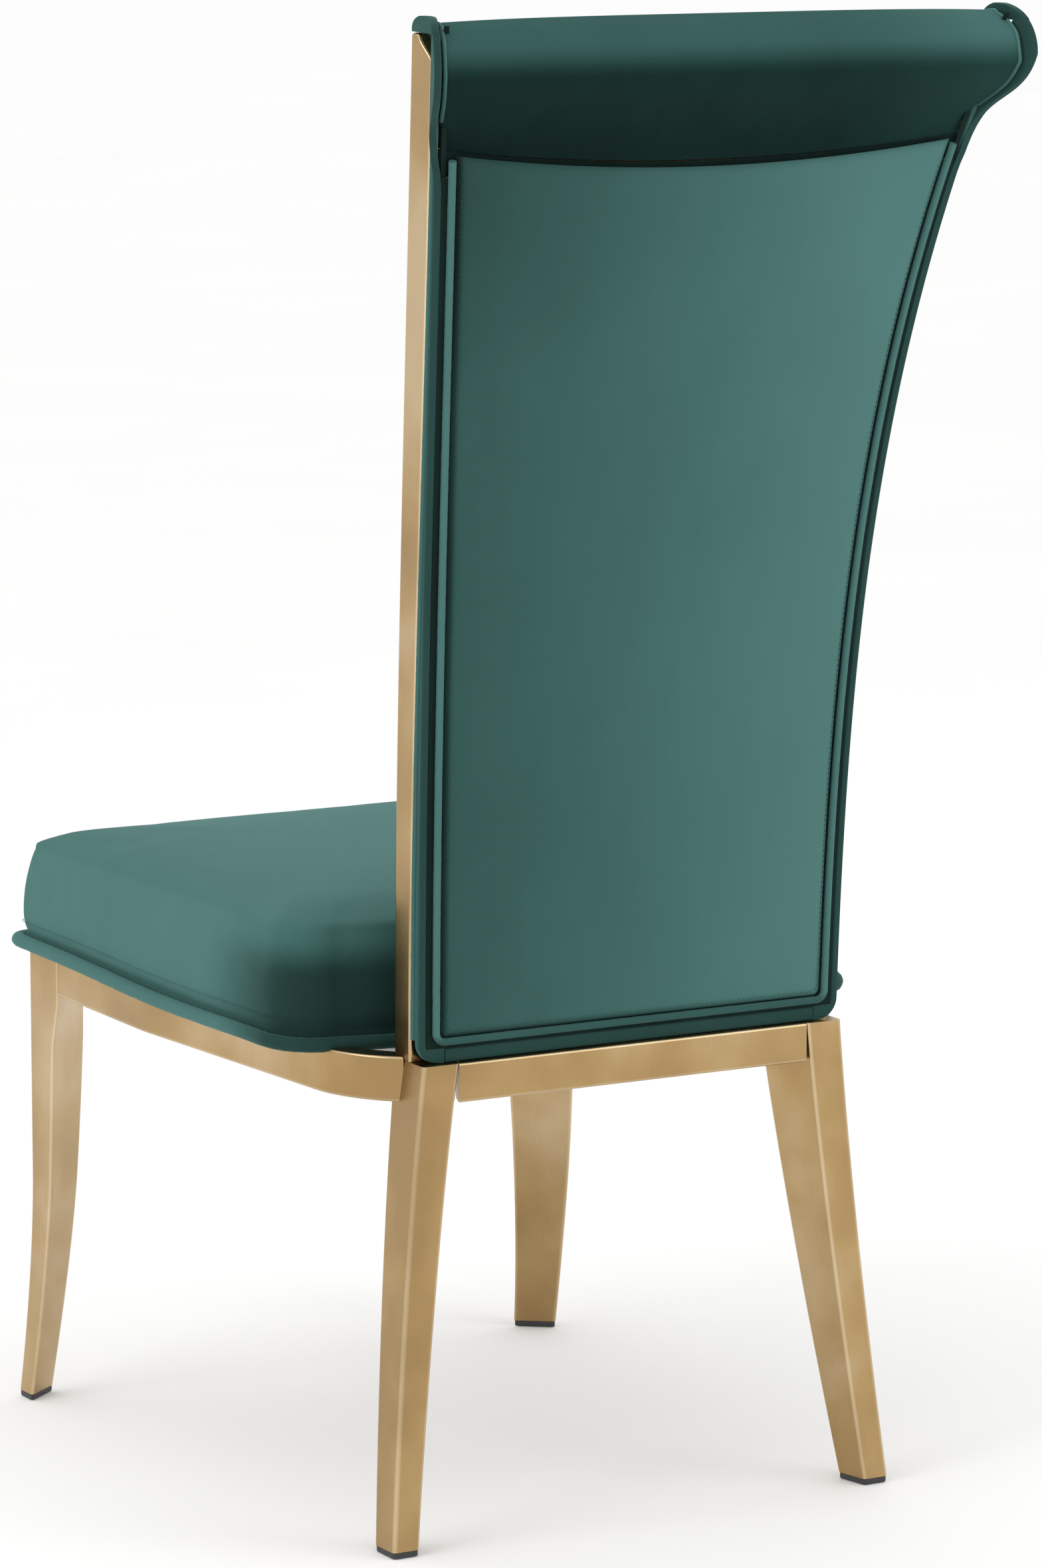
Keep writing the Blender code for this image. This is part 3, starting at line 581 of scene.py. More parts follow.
def makeStudio():
    data = bpy.data.cameras.new("camera")
    data.lens = studio["lens"]
    data.sensor_width = 36
    data.clip_start, data.clip_end = 0.05, 60
    camera = bpy.data.objects.new("camera", data)
    camera.location = studio["place"]
    look = Vector(studio["aim"]) - Vector(studio["place"])
    camera.rotation_mode = "QUATERNION"
    camera.rotation_quaternion = look.to_track_quat("-Z", "Y")
    bpy.context.scene.collection.objects.link(camera)
    bpy.context.scene.camera = camera
    world = bpy.data.worlds.new("studio")
    world.use_nodes = True
    world.node_tree.nodes["Background"].inputs["Color"].default_value = (1, 1, 1, 1)
    world.node_tree.nodes["Background"].inputs["Strength"].default_value = studio["sky"]
    bpy.context.scene.world = world
    bpy.context.scene.view_settings.view_transform = "Standard"
    made, tree, shader, where = newMaterial("studio_floor", Roughness=0.9)
    shader.inputs["Emission Color"].default_value = (1, 1, 1, 1)
    shader.inputs["Emission Strength"].default_value = 0.10
    tone = rampOf(tree, noiseOf(tree, where, 1.5), ((0.3, studio["floor"]), (0.7, (0.90, 0.90, 0.895))))
    tree.links.new(tone, shader.inputs["Base Color"])
    reach, level = studio["floorReach"], studio["floorLevel"]
    square = [(-reach, -reach, level), (reach, -reach, level), (reach, reach, level), (-reach, reach, level)]
    floor = meshFrom("floor", square, [(0, 1, 2, 3)], made)
    softBox("key", (2.6, 0.4, 2.4), (0.1, -0.05, 0.6), (1.6, 1.6), 22)
    softBox("fill", (-2.2, 2.8, 2.2), (0, 0.2, 0.7), (1.8, 1.8), 16)


makeStudio()
print("studio made")


# Legs and glides.

def frontLegCorners(z):
    taper = ease(z / frontLeg["taperTop"]) * 0.35 + min(1.0, z / frontLeg["taperTop"]) * 0.65
    wide, deep = between(frontLeg["foot"], frontLeg["size"], taper)
    deep += frontLeg["flare"] * ease((z - 0.290) / (rail["bottom"] - 0.290))
    flared = (1 - min(1.0, z / 0.19)) ** 1.7
    x = frontLeg["outerX"] + frontLeg["splay"] * flared
    y = frontLeg["frontY"] - frontLeg["kick"] * flared
    return [(x, y, z), (x, y + deep, z), (x - wide, y, z)]


def rearLegCorners(z):
    up = min(1.0, z / rail["rearTop"])
    outer = rearLeg["footX"] + (backHalf(rail["rearTop"]) - rearLeg["footX"]) * up
    front = backFront(rail["rearTop"]) + rearLeg["kick"] * (1 - up) ** 1.6
    rear = front + rearLeg["footDepth"] + (rearLeg["depth"] - rearLeg["footDepth"]) * up
    frontWide, rearWide = between(rearLeg["footWidth"], rearLeg["width"], up)
    return [(outer, front, z), (outer, rear, z), (outer - rearWide, rear, z),
            (outer - frontWide, front, z)]


legSettings = {"foot": 0.005, "frontReach": (0.0026, 0.0046, 0.0046),
               "rearReach": (0.0026, 0.0036, 0.0024, 0.0026)}


def makeLegs():
    topFront = rail["top"] - rail["slope"] * frontLeg["size"][1]
    for word, side in sides:
        heights = [legSettings["foot"]] + spread(0.012, 0.29, 40) + spread(0.294, topFront, 16)
        rings = [mirrored(frontLegCorners(z), side) for z in heights]
        leg = metalLoft(f"frontLeg_{word}", rings, legSettings["frontReach"], 6)
        declare(leg, [f"front_leg_{word}"])
        heights = [legSettings["foot"]] + spread(0.012, rail["rearTop"], 40)
        rings = [mirrored(rearLegCorners(z), side) for z in heights]
        leg = metalLoft(f"rearLeg_{word}", rings, legSettings["rearReach"], 5)
        declare(leg, [f"rear_leg_{word}"])
        for end, corners, reach in (("front", frontLegCorners, legSettings["frontReach"]),
                                    ("rear", rearLegCorners, legSettings["rearReach"])):
            outline, _ = rounded(mirrored(corners(legSettings["foot"]), side), reach, 5)
            middle = sum(outline, Vector()) / len(outline)
            rows = ((0.86, 0.0), (0.94, 0.0003), (0.965, 0.0011), (0.965, 0.0044), (0.955, 0.0047))
            points = []
            for scale, z in rows:
                points += [Vector((middle.x + (p.x - middle.x) * scale,
                                   middle.y + (p.y - middle.y) * scale, z)) for p in outline]
            faces = ringFaces(len(rows), len(outline))
            glide = meshFrom(f"{end}Glide_{word}", points, faces, blackNylon, sharp=60)
            declare(glide, [f"{end}_glide_{word}"])


makeLegs()
print("legs and glides made")


# Rails.

def railOuter(y):
    taper = rail["taper"] * max(0.0, y - rail["taperY"])
    turn = max(0.0, y - rail["cornerY"])
    return frontLeg["outerX"] - taper - (rail["cornerRadius"] - sqrt(rail["cornerRadius"] ** 2 - turn**2))


def railInner(y):
    slope = (railOuter(y + 0.001) - railOuter(y - 0.001)) / 0.002
    long = sqrt(1 + slope * slope)
    return railOuter(y) - rail["width"] / long, y + rail["width"] * slope / long


def railRing(y, inner):
    top = rail["top"] + rail["rise"] * ease((y - 0.02) / 0.10)  # it rises behind the seat's welt
    outer = (railOuter(y), y)
    corners = ((outer, rail["bottom"]), (outer, top), (inner, top), (inner, rail["bottom"]))
    return [sloped((x, y, z)) for (x, y), z in corners]


def makeRails():
    deep = frontLeg["size"][1] + frontLeg["flare"]
    start = frontLeg["frontY"] + deep + 0.0002
    backTo = start - rail["width"] * deep / frontLeg["size"][0] + 0.001
    stations = [(start, (frontLeg["outerX"] - rail["width"], backTo))]
    stations += [(y, railInner(y)) for y in spread(-0.255, 0.100, 40) + spread(0.104, 0.174, 22)]
    stations.append((rail["endY"], (railOuter(rail["endY"]) - 0.0001, backFront(back["start"]) - 0.004)))
    for word, side in sides:
        rings = [mirrored(railRing(y, inner), side) for y, inner in stations]
        made = metalLoft(f"sideRail_{word}", rings, rail["wrap"], 4)
        declare(made, [f"side_rail_{word}"])
    reach = frontLeg["outerX"] - frontLeg["size"][0] - 0.0002
    slant = rail["width"] * frontLeg["size"][0] / deep
    rearY = frontLeg["frontY"] + rail["width"]
    top = rail["top"] - rail["slope"] * rail["width"]
    rings = crossRings(reach, reach + slant, frontLeg["frontY"], rearY, rail["bottom"], top)
    declare(metalLoft("frontRail", rings, rail["wrap"], 4), ["front_rail"])
    rearFace = backFront(rail["rearTop"]) + rearLeg["depth"] - 0.001
    half = backHalf(rail["rearTop"]) - rearLeg["width"][1] - 0.0004
    slant = (rearLeg["width"][0] - rearLeg["width"][1]) / rearLeg["depth"]
    rings = crossRings(half - slant * (rail["width"] + 0.001), half - slant * 0.001,
                       rearFace - rail["width"], rearFace, rail["rearBottom"], rail["rearTop"])
    declare(metalLoft("rearRail", rings, rail["wrap"], 4), ["rear_rail"])


def crossRings(halfFront, halfRear, front, rear, low, high):
    rings = []
    for s in spread(1, -1, 41):
        rings.append([Vector((s * halfFront, front, low)), Vector((s * halfFront, front, high)),
                      Vector((s * halfRear, rear, high)), Vector((s * halfRear, rear, low))])
    return rings


makeRails()
print("rails made")


# Weld beads where the rails meet the legs.

weld = {"pitch": 0.0016, "size": (0.0030, 0.0030, 0.0022)}


def makeWelds():
    lines = []
    rearFace = backFront(rail["rearTop"]) + rearLeg["depth"] - 0.001 - rail["width"]
    rearX = backHalf(rail["rearTop"]) - rearLeg["width"][0] - 0.0006
    frontX = frontLeg["outerX"] - frontLeg["size"][0]
    for _, side in sides:
        low, high = rail["rearBottom"] + 0.002, rail["rearTop"] - 0.002
        lines.append([Vector((rearX * side, rearFace, z)) for z in (low, (low + high) / 2, high)])
        slant = rail["width"] * frontLeg["size"][0] / (frontLeg["size"][1] + frontLeg["flare"])
        low, high = rail["bottom"] + 0.002, rail["top"] - 0.004
        x, y = frontX + slant, frontLeg["frontY"] + rail["width"]
        lines.append([Vector((x * side, y, z)) for z in (low, (low + high) / 2, high)])
    beads = stitches("weldBeads", lines, weld["pitch"], weld["size"], finish=goldMetal)
    declare(beads)


makeWelds()
print("welds made")


# Posts of the back.

postSettings = {"reach": 0.0024}


def postCorners(z, inset=0.0):
    half, front = backHalf(z), backFront(z)
    rear = front + postDepth(z)
    return [(half - inset, front + inset, z), (half - inset, rear - inset, z),
            (half - post["width"] + inset, rear - inset, z), (half - post["width"] + inset, front + inset, z)]


def makePosts():
    heights = [(z, 0.0) for z in spread(rail["rearTop"] + 0.0003, 1.100, 70) + spread(1.103, 1.1265, 16)]
    heights += [(1.1274, 0.0004), (1.1280, 0.0010), (post["top"], 0.0020)]
    for word, side in sides:
        rings = [mirrored(postCorners(z, inset), side) for z, inset in heights]
        made = metalLoft(f"backPost_{word}", rings, postSettings["reach"], 5)
        declare(made, [f"back_post_{word}"])


makePosts()
print("posts made")


# Seat cushion.

seat = {"bottom": 0.3752, "edge": 0.458, "frontY": -0.340, "frontBow": 0.0065,
        "rearY": 0.143, "half": 0.2455, "swell": 0.0015, "corner": 0.015, "rearCorner": 0.040,
        "rearBow": 0.022, "dip": 0.0055, "lift": 0.0058, "cornerDip": 0.0012, "lean": 0.0070,
        "sharpen": 0.009, "weltOut": 0.0048, "weltUp": 0.0040, "stitchOut": 0.0022, "stitchZ": 0.3948}
seatRows = ((-0.0300, 0.3765), (-0.0120, 0.3753), (-0.0020, 0.3752), (0.0004, 0.3768), (0.0008, 0.3800),
            (0.0008, 0.3840), (-0.0002, 0.3866), (0.0006, 0.3890), (0.0018, 0.3930), (0.0026, 0.4000),
            (0.0027, 0.4080), (0.0022, 0.4180), (0.0012, 0.4290), (-0.0002, 0.4390), (-0.0018, 0.4480),
            (-0.0030, 0.4530), (-0.0038, 0.4554), (-0.0037, 0.4571), (-0.0044, 0.4595), (-0.0066, 0.4612),
            (-0.0150, 0.4648), (-0.0340, 0.4693), (-0.0640, 0.4727), (-0.1100, 0.4757), (-0.1600, 0.4768),
            (-0.2100, 0.4772), (-0.2380, 0.4773))
seatCloth = {"voxel": 0.0065, "stiff": 14.0, "bend": 0.4, "pressure": 4.0, "frames": 16, "cap": 0.006,
             "share": 0.32}


def seatOutline(scale, frontCorner):
    half = []
    corner = seat["rearCorner"]
    sideX = seat["half"] + seat["swell"]
    cornerY = seat["rearY"] - seat["rearBow"] - corner
    for x in spread(0, sideX - corner, 28):
        half.append((x, seat["rearY"] - seat["rearBow"] * (x / (sideX - corner)) ** 2.6))
    for i in range(1, 16):
        turn = pi / 2 * i / 16
        half.append((sideX - corner + corner * sin(turn), cornerY + corner * cos(turn)))
    frontY = seat["frontY"] + frontCorner
    for y in spread(cornerY, frontY, 64):
        late = max(0.0, (-0.05 - y) / (-0.05 - frontY))
        half.append((seat["half"] + seat["swell"] * (1 - late * late), y))
    cornerX = seat["half"] - frontCorner
    for i in range(1, 14):
        turn = pi / 2 * i / 14
        half.append((cornerX + frontCorner * abs(cos(turn)) ** 0.72,
                     frontY - frontCorner * abs(sin(turn)) ** 0.72))
    for x in spread(cornerX, 0, 32):
        half.append((x, seat["frontY"] - seat["frontBow"] * (1 - (x / cornerX) ** 2)))
    whole = half + [(-x, y) for x, y in reversed(half[1:-1])]
    middleY = (seat["frontY"] + seat["rearY"]) / 2
    return [(x * scale, middleY + (y - middleY) * scale) for x, y in whole]


def seatRing(outward, z):
    share = max(0.0, min(1.0, (seat["edge"] - z) / (seat["edge"] - seat["bottom"])))
    ring = []
    frontCorner = seat["corner"] - seat["sharpen"] * ease((z - 0.385) / 0.065)  # sharper at the top
    for x, y in seatOutline(1 + outward / seat["half"], frontCorner):
        dip = seat["dip"] * ease((y - rail["slopeStart"]) / 0.3) - seat["lift"] * ease((y + 0.14) / 0.24)
        dip += seat["cornerDip"] * ease((y - 0.08) / 0.05)
        y += seat["lean"] * ease((z - 0.385) / 0.08) * ease((-0.25 - y) / 0.08)  # the front leans back
        dip *= ease((outward + 0.012) / 0.010)
        ring.append(Vector((x, y, z - share * (rail["slope"] * (y - rail["slopeStart"]) + dip))))
    return ring


# Painted light and shade on the seat: the side and top painted light, painted shade towards the back under
# the back's border, and a painted shadow band low on the side above the welt.
def seatPaintedLight(point):
    top = ease((point.z - 0.452) / 0.010)
    toRear = ease((point.y + 0.03) / 0.15) * (1 - 0.75 * ease((point.z - 0.420) / 0.032))
    low = ease((0.3885 - rail["slope"] * (point.y - rail["slopeStart"]) - point.z) / 0.003)
    side = 0.88 - 0.72 * toRear - 0.30 * low * (1 - toRear)
    return side * (1 - top) + (0.84 + 0.03 * sin(point.x * 19)) * top


def makeSeat():
    rows = throughPoints([(side, z, 0) for side, z in seatRows], 0.0042)
    rings = [seatRing(p.x - 0.0008, p.y) for p in rows]
    points = [p for ring in rings for p in ring]
    cushion = meshFrom("seatCushion", points, ringFaces(len(rings), len(rings[0])), velvetCloth)
    blowUp(cushion, seatCloth, lambda p: 1.0 if p.z < 0.383 else 0.25 * (1 - ease((p.z - 0.383) / 0.03)))
    declareVelvet(cushion, seatPaintedLight, ["seat_cover", "seat_foam"])
    line = seatRing(seat["weltOut"], seat["bottom"] + seat["weltUp"])
    welt = coveredCord("seatWelt", [line], cord["seat"], closed=True, sides=18)
    # The welt and the stitches are painted darker towards the back: painted shade.
    declareVelvet(welt, lambda p: 0.86 - 0.60 * ease((p.y - 0.01) / 0.10), ["seat_piping"])
    row = seatRing(seat["stitchOut"], seat["stitchZ"])
    made = stitches("seatStitches", [row], 0.0042, (0.0007, 0.0007, 0.0026), closed=True)
    declareVelvet(made, lambda p: 0.80 - 0.68 * ease((p.y - 0.01) / 0.10))


makeSeat()
print("seat made")


# Pillows of the back: rows of points from edge to edge, the outer skin and a flat skin behind it.

def pillow(name, settings, finish):
    columns = [sin(pi / 2 * u) for u in spread(-1, 1, settings["columns"])]
    rows = [(1 - cos(pi * u)) / 2 for u in spread(0, 1, settings["rows"])]
    low, high, corner = settings["low"], settings["high"], settings["corner"]
    outer, flat = [], []
    for t in rows:
        level = low + (high - low) * t
        for s in columns:
            z = level + settings["arch"] * s * s * t
            half = backHalf(z) - settings["margin"]
            if level < low + corner:
                half -= corner - sqrt(corner**2 - (corner - max(0.0, level - low)) ** 2)
            edges = (max(1e-5, (1 - abs(s)) * half), max(1e-5, level - low), max(1e-5, high - level))
            near = sum(e**-2.5 for e in edges) ** (-1 / 2.5)
            fall = settings["roll"] * exp(-near / settings["rollReach"])
            swell = settings["crown"] * ease(min(level - low, high - level) / 0.09) * (1 - s**4)
            depth = settings["face"] + settings["out"] * (swell - fall)
            outer.append(Vector((s * half, backFront(z) + depth, z)))
            flat.append(Vector((s * half, backFront(z) + settings["flat"], z)))
    wide, tall = len(columns), len(rows)
    faces = []
    for base in (0, len(outer)):
        for i in range(tall - 1):
            this, above = base + i * wide, base + (i + 1) * wide
            faces += [(this + j, this + j + 1, above + j + 1, above + j) for j in range(wide - 1)]
    rim = [j for j in range(wide)] + [i * wide + wide - 1 for i in range(1, tall)]
    rim += [(tall - 1) * wide + j for j in range(wide - 2, -1, -1)]
    rim += [i * wide for i in range(tall - 2, 0, -1)]
    shift = len(outer)
    for i, first in enumerate(rim):
        second = rim[(i + 1) % len(rim)]
        faces.append((first, second, second + shift, first + shift))
    return meshFrom(name, outer + flat, faces, finish)


rearPad = {"low": 0.3856, "high": 1.0270, "corner": 0.006, "arch": 0.0140, "margin": 0.0173,
           "face": 0.0418, "flat": 0.0373, "out": 1, "crown": 0.0105, "roll": 0.0040, "rollReach": 0.0032,
           "columns": 110, "rows": 170}
rearCloth = {"voxel": 0.006, "stiff": 12.0, "bend": 0.3, "pressure": 4.0, "frames": 16, "cap": 0.008,
             "share": 0.22}
frontPad = {"low": 0.481, "high": 1.0405, "corner": 0.012, "arch": 0.0, "margin": 0.0232,
            "face": -0.0155, "flat": 0.0057, "out": -1, "crown": 0.0100, "roll": 0.0120, "rollReach": 0.0060,
            "columns": 100, "rows": 150}
frontSkirt = {"low": 0.3740, "high": 0.4800, "corner": 0.001, "arch": 0.0, "margin": 0.0232,
              "face": -0.0010, "flat": 0.0057, "out": -1, "crown": 0.0, "roll": 0.0020, "rollReach": 0.0030,
              "columns": 60, "rows": 30}


def heldRim(settings):
    def weight(p):
        high = settings["high"] + settings["arch"] * 0.6
        near = min(backHalf(p.z) - settings["margin"] - abs(p.x), p.z - settings["low"], high - p.z)
        behind = settings["out"] * (p.y - backFront(p.z) - settings["flat"]) < 0.0022
        return 1.0 if behind or near < 0.004 else 0.0
    return weight


# Painted light on the rear panel: lighter towards the -X end and at the top on that side, darker towards +X,
# and painted shade along the edges by the welt.
def rearPaintedLight(point):
    half = backHalf(point.z) - rearPad["margin"]
    across = (half - point.x) / (2 * half)
    near = min(half - abs(point.x), point.z - rearPad["low"] + 0.002)
    high = ease((point.z - 0.85) / 0.15)
    return 0.46 + 0.50 * across - 0.34 * ease((0.0065 - near) / 0.0055) + high * (0.24 * across - 0.14)


def makePillows():
    pad = pillow("backPanel_rear", rearPad, velvetCloth)
    blowUp(pad, rearCloth, heldRim(rearPad))
    declareVelvet(pad, rearPaintedLight, ["back_rear_cushion"])
    pad = pillow("backPanel_front", frontPad, velvetCloth)
    blowUp(pad, dict(rearCloth, share=0.3), heldRim(frontPad))
    # The front pad is painted lighter towards +X and the skirt below it darker: painted light and shade.
    declareVelvet(pad, lambda p: 0.60 + p.x * 0.5, ["back_front_cushion"])
    pad = pillow("backSkirt_front", frontSkirt, velvetCloth)
    declareVelvet(pad, lambda p: 0.35)


makePillows()
print("back pillows made")


# Welt round the rear panel, with a near-black strip of painted shadow in the groove outside it.

welt = {"margin": 0.0135, "depth": 0.0398, "low": 0.3820, "corner": 0.007, "top": 1.0375,
        "groove": (0.0364, 0.0376), "strip": (0.0061, 0.0175), "stripTop": 1.0255,
        "stitchIn": 0.0072, "stitchDepth": 0.0417, "stitchTop": 1.020}


def weltPath(margin, low, depth, top):
    line = [Vector((backHalf(z) - margin, backFront(z) + depth, z))
            for z in spread(top, low + welt["corner"], 90)]
    for i in range(1, 13):
        turn = pi / 2 * i / 12
        z = low + welt["corner"] * (1 - sin(turn))
        half = backHalf(z) - margin - welt["corner"] * (1 - cos(turn))
        line.append(Vector((half, backFront(z) + depth, z)))
    end = line[-1].x
    line += [Vector((x, line[-1].y, line[-1].z)) for x in spread(end, 0, 40)[1:]]
    return line + [Vector((-p.x, p.y, p.z)) for p in reversed(line[:-1])]


def makeWelts():
    path = weltPath(welt["margin"], welt["low"], welt["depth"], welt["top"])
    made = coveredCord("panelWelt", [path], cord["back"], sides=14)
    # The welt is painted darker along the bottom: painted shade.
    declareVelvet(made, lambda p: 0.92 - 0.42 * ease((0.388 - p.z) / 0.006), ["rear_panel_piping"])
    (outside, inside), (front, rear) = welt["strip"], welt["groove"]
    wide = ((outside, front), (outside, rear), (inside, rear), (inside, front))
    lines = [weltPath(margin, welt["low"] + margin - welt["margin"], depth, welt["stripTop"])
             for margin, depth in wide]
    points = [line[i] for i in range(len(lines[0])) for line in lines]
    strip = meshFrom("grooveShadow", points, ringFaces(len(lines[0]), 4), velvetCloth, sharp=60)
    # Painted shadow: the strip in the groove is near black.
    declareVelvet(strip, lambda p: 0.02)
    points, faces = [], []
    heights = spread(1.000, 1.134, 40)
    for _, side in sides:
        first = len(points)
        for z in heights:
            y = backFront(z) + bandStart(z) + 2 * cord["back"] + 0.0001
            points += [Vector(((backHalf(z) - x) * side, y + lift, z)) for x, lift in
                       ((outside, 0), (outside, 0.0010), (0.0100, 0.0010), (0.0100, 0))]
        faces += [tuple(first + i for i in face) for face in ringFaces(len(heights), 4)]
    strip = meshFrom("rollGrooveShadow", points, faces, velvetCloth, sharp=60)
    # Painted shadow: the strip beside the roll is black.
    declareVelvet(strip, lambda p: 0.0)
    row = weltPath(welt["margin"] + welt["stitchIn"], welt["low"] + welt["stitchIn"],
                   welt["stitchDepth"], welt["stitchTop"])
    made = stitches("panelStitches", [row], 0.0040, (0.0006, 0.0006, 0.0024))
    declareVelvet(made, lambda p: 0.45)
    for word, side in sides:
        line = []
        for z in spread(0.3835, 1.1215, 120):
            y = backFront(z) + bandStart(z) + cord["back"] + 0.0005
            line.append(Vector(((backHalf(z) - cord["back"] + 0.0010) * side, y, z)))
        made = coveredCord(f"borderWelt_{word}", [line], cord["back"], sides=14)
        declareVelvet(made, lambda p: 0.72, [f"border_piping_{word}"])


makeWelts()
print("welts made")


# Bands round the edge of the back.

band = {"thick": 0.006, "foot": 0.022, "corner": 0.016, "reach": 0.0019}


def bandCorners(z):
    bottom = rail["rearTop"] + 0.0005
    rear = scrollRear(z)
    front = backFront(z) + bandStart(z) + 2 * cord["back"] + 0.0009
    if z > post["top"] + 0.0005:
        rise = (z - post["top"]) / (scroll["middle"][1] + scroll["rise"] - post["top"] + 0.0003)
        low, high = scroll["capFront"]
        front = high - (high - low) * sqrt(1 - rise * rise)
        rear = rear + 0.0005
    outerFront, outerRear = outerHalf(front, z), outerHalf(rear, z)
    footed = z < 0.3770
    near = z - bottom
    if near < band["corner"]:
        trim = band["corner"] - sqrt(band["corner"] ** 2 - (band["corner"] - near) ** 2)
        outerFront -= trim
        outerRear -= trim
    innerFront = backHalf(z) - band["foot"] if footed else outerFront - band["thick"]
    innerRear = backHalf(z) - band["foot"] if footed else outerRear - band["thick"]
    return [(innerFront, front, z), (outerFront, front, z), (outerRear, rear, z), (innerRear, rear, z)]


# Painted light on the bands: the outer side lighter, the rear face and the top darker as painted shade.
def bandPaintedLight(point):
    rear = ease((point.y - backFront(point.z) - 0.034) / 0.004)
    outside = 0.50 - 0.10 * ease((point.z - 1.0) / 0.1)
    return outside * (1 - rear) + 0.30 * rear


def makeBands():
    bottom = rail["rearTop"] + 0.0005
    heights = [bottom + lift for lift in (0, 0.0008, 0.002, 0.0035, 0.005, 0.0065)]
    heights += [0.3740, 0.3755, 0.3769, 0.3771, 0.3785, 0.3800, 0.3825]  # close together at the foot
    heights += spread(0.390, 1.030, 90) + spread(1.034, 1.124, 46)
    heights += [1.1262, post["top"] + 0.0003, post["top"] + 0.0009, 1.1305, 1.1325, 1.1345, 1.1365, 1.1380,
                1.1392, 1.1400, 1.1405]
    for word, side in sides:
        points = []
        for z in heights:
            placed, _ = rounded(mirrored(bandCorners(z), side), band["reach"], 4)
            points += placed
        size = len(points) // len(heights)
        faces = ringFaces(len(heights), size)
        made = meshFrom(f"backBand_{word}", points, faces, velvetCloth, sharp=70)
        declareVelvet(made, bandPaintedLight, [f"back_border_{word}"])
    half = backHalf(0.37) - band["foot"] - 0.0002
    points = []
    for s in spread(1, -1, 61):
        corners = [Vector((s * half, backFront(z) + depth, z)) for z, depth in
                   ((bottom, 0.0315), (0.3765, 0.0315), (0.3765, back["panelDepth"]),
                    (bottom, back["panelDepth"]))]
        points += rounded(corners, band["reach"], 4)[0]
    made = meshFrom("backBand_bottom", points, ringFaces(61, len(points) // 61), velvetCloth, sharp=70)
    # The bottom band is painted darker: painted shade.
    declareVelvet(made, lambda p: 0.30, ["back_border_bottom"])


makeBands()
print("bands made")


# The roll over the top.

rollSettings = {"columns": 90, "end": 0.004, "gap": 0.0026}
rollCloth = {"voxel": 0.005, "stiff": 12.0, "bend": 0.3, "pressure": 3.0, "frames": 14, "cap": 0.004,
             "share": 0.20}


def rollOutline():
    seamFront = backFront(scroll["seam"]) - 0.016
    crest = scroll["middle"][1] + scroll["rise"] - scroll["inset"]
    line = [(seamFront + 0.004, scroll["seam"] + 0.0006), (seamFront, scroll["seam"] + 0.006)]
    for i in range(1, 13):
        turn = pi / 2 * i / 12
        line.append((scroll["middle"][0] - (scroll["middle"][0] - seamFront - 0.008) * cos(turn),
                     scroll["seam"] + 0.035 + (crest - scroll["seam"] - 0.035) * sin(turn)))
    for z in (crest - 0.0012, crest - 0.005, crest - 0.011, crest - 0.018):
        line.append((scrollRear(z + scroll["inset"]) - scroll["inset"], z))
    for z in spread(scroll["middle"][1] - 0.004, scroll["seam"] + 0.002, 14):
        line.append((scrollRear(z) - scroll["inset"], z))
    line.append((backFront(scroll["seam"]) + 0.020, scroll["seam"] - 0.001))
    return line


# Painted light on the roll: lighter towards the top, painted shade down the rear and underneath, the -X end
# painted lighter, and the front at a middle value.
def rollPaintedLight(point):
    overTop = ease((point.z - 1.128) / 0.006) * ease((0.322 - point.y) / 0.01)
    behind = ease((point.y - 0.286) / 0.010) * (1 - overTop)
    height = ease((point.z - 1.094) / 0.026)
    end = ease((-point.x - 0.08) / 0.16)
    rear = 0.05 + 0.07 * ease((point.z - 1.04) / 0.05) + 0.56 * height + end * (0.16 + 0.14 * height)
    return rear * behind + 0.66 * (1 - behind)


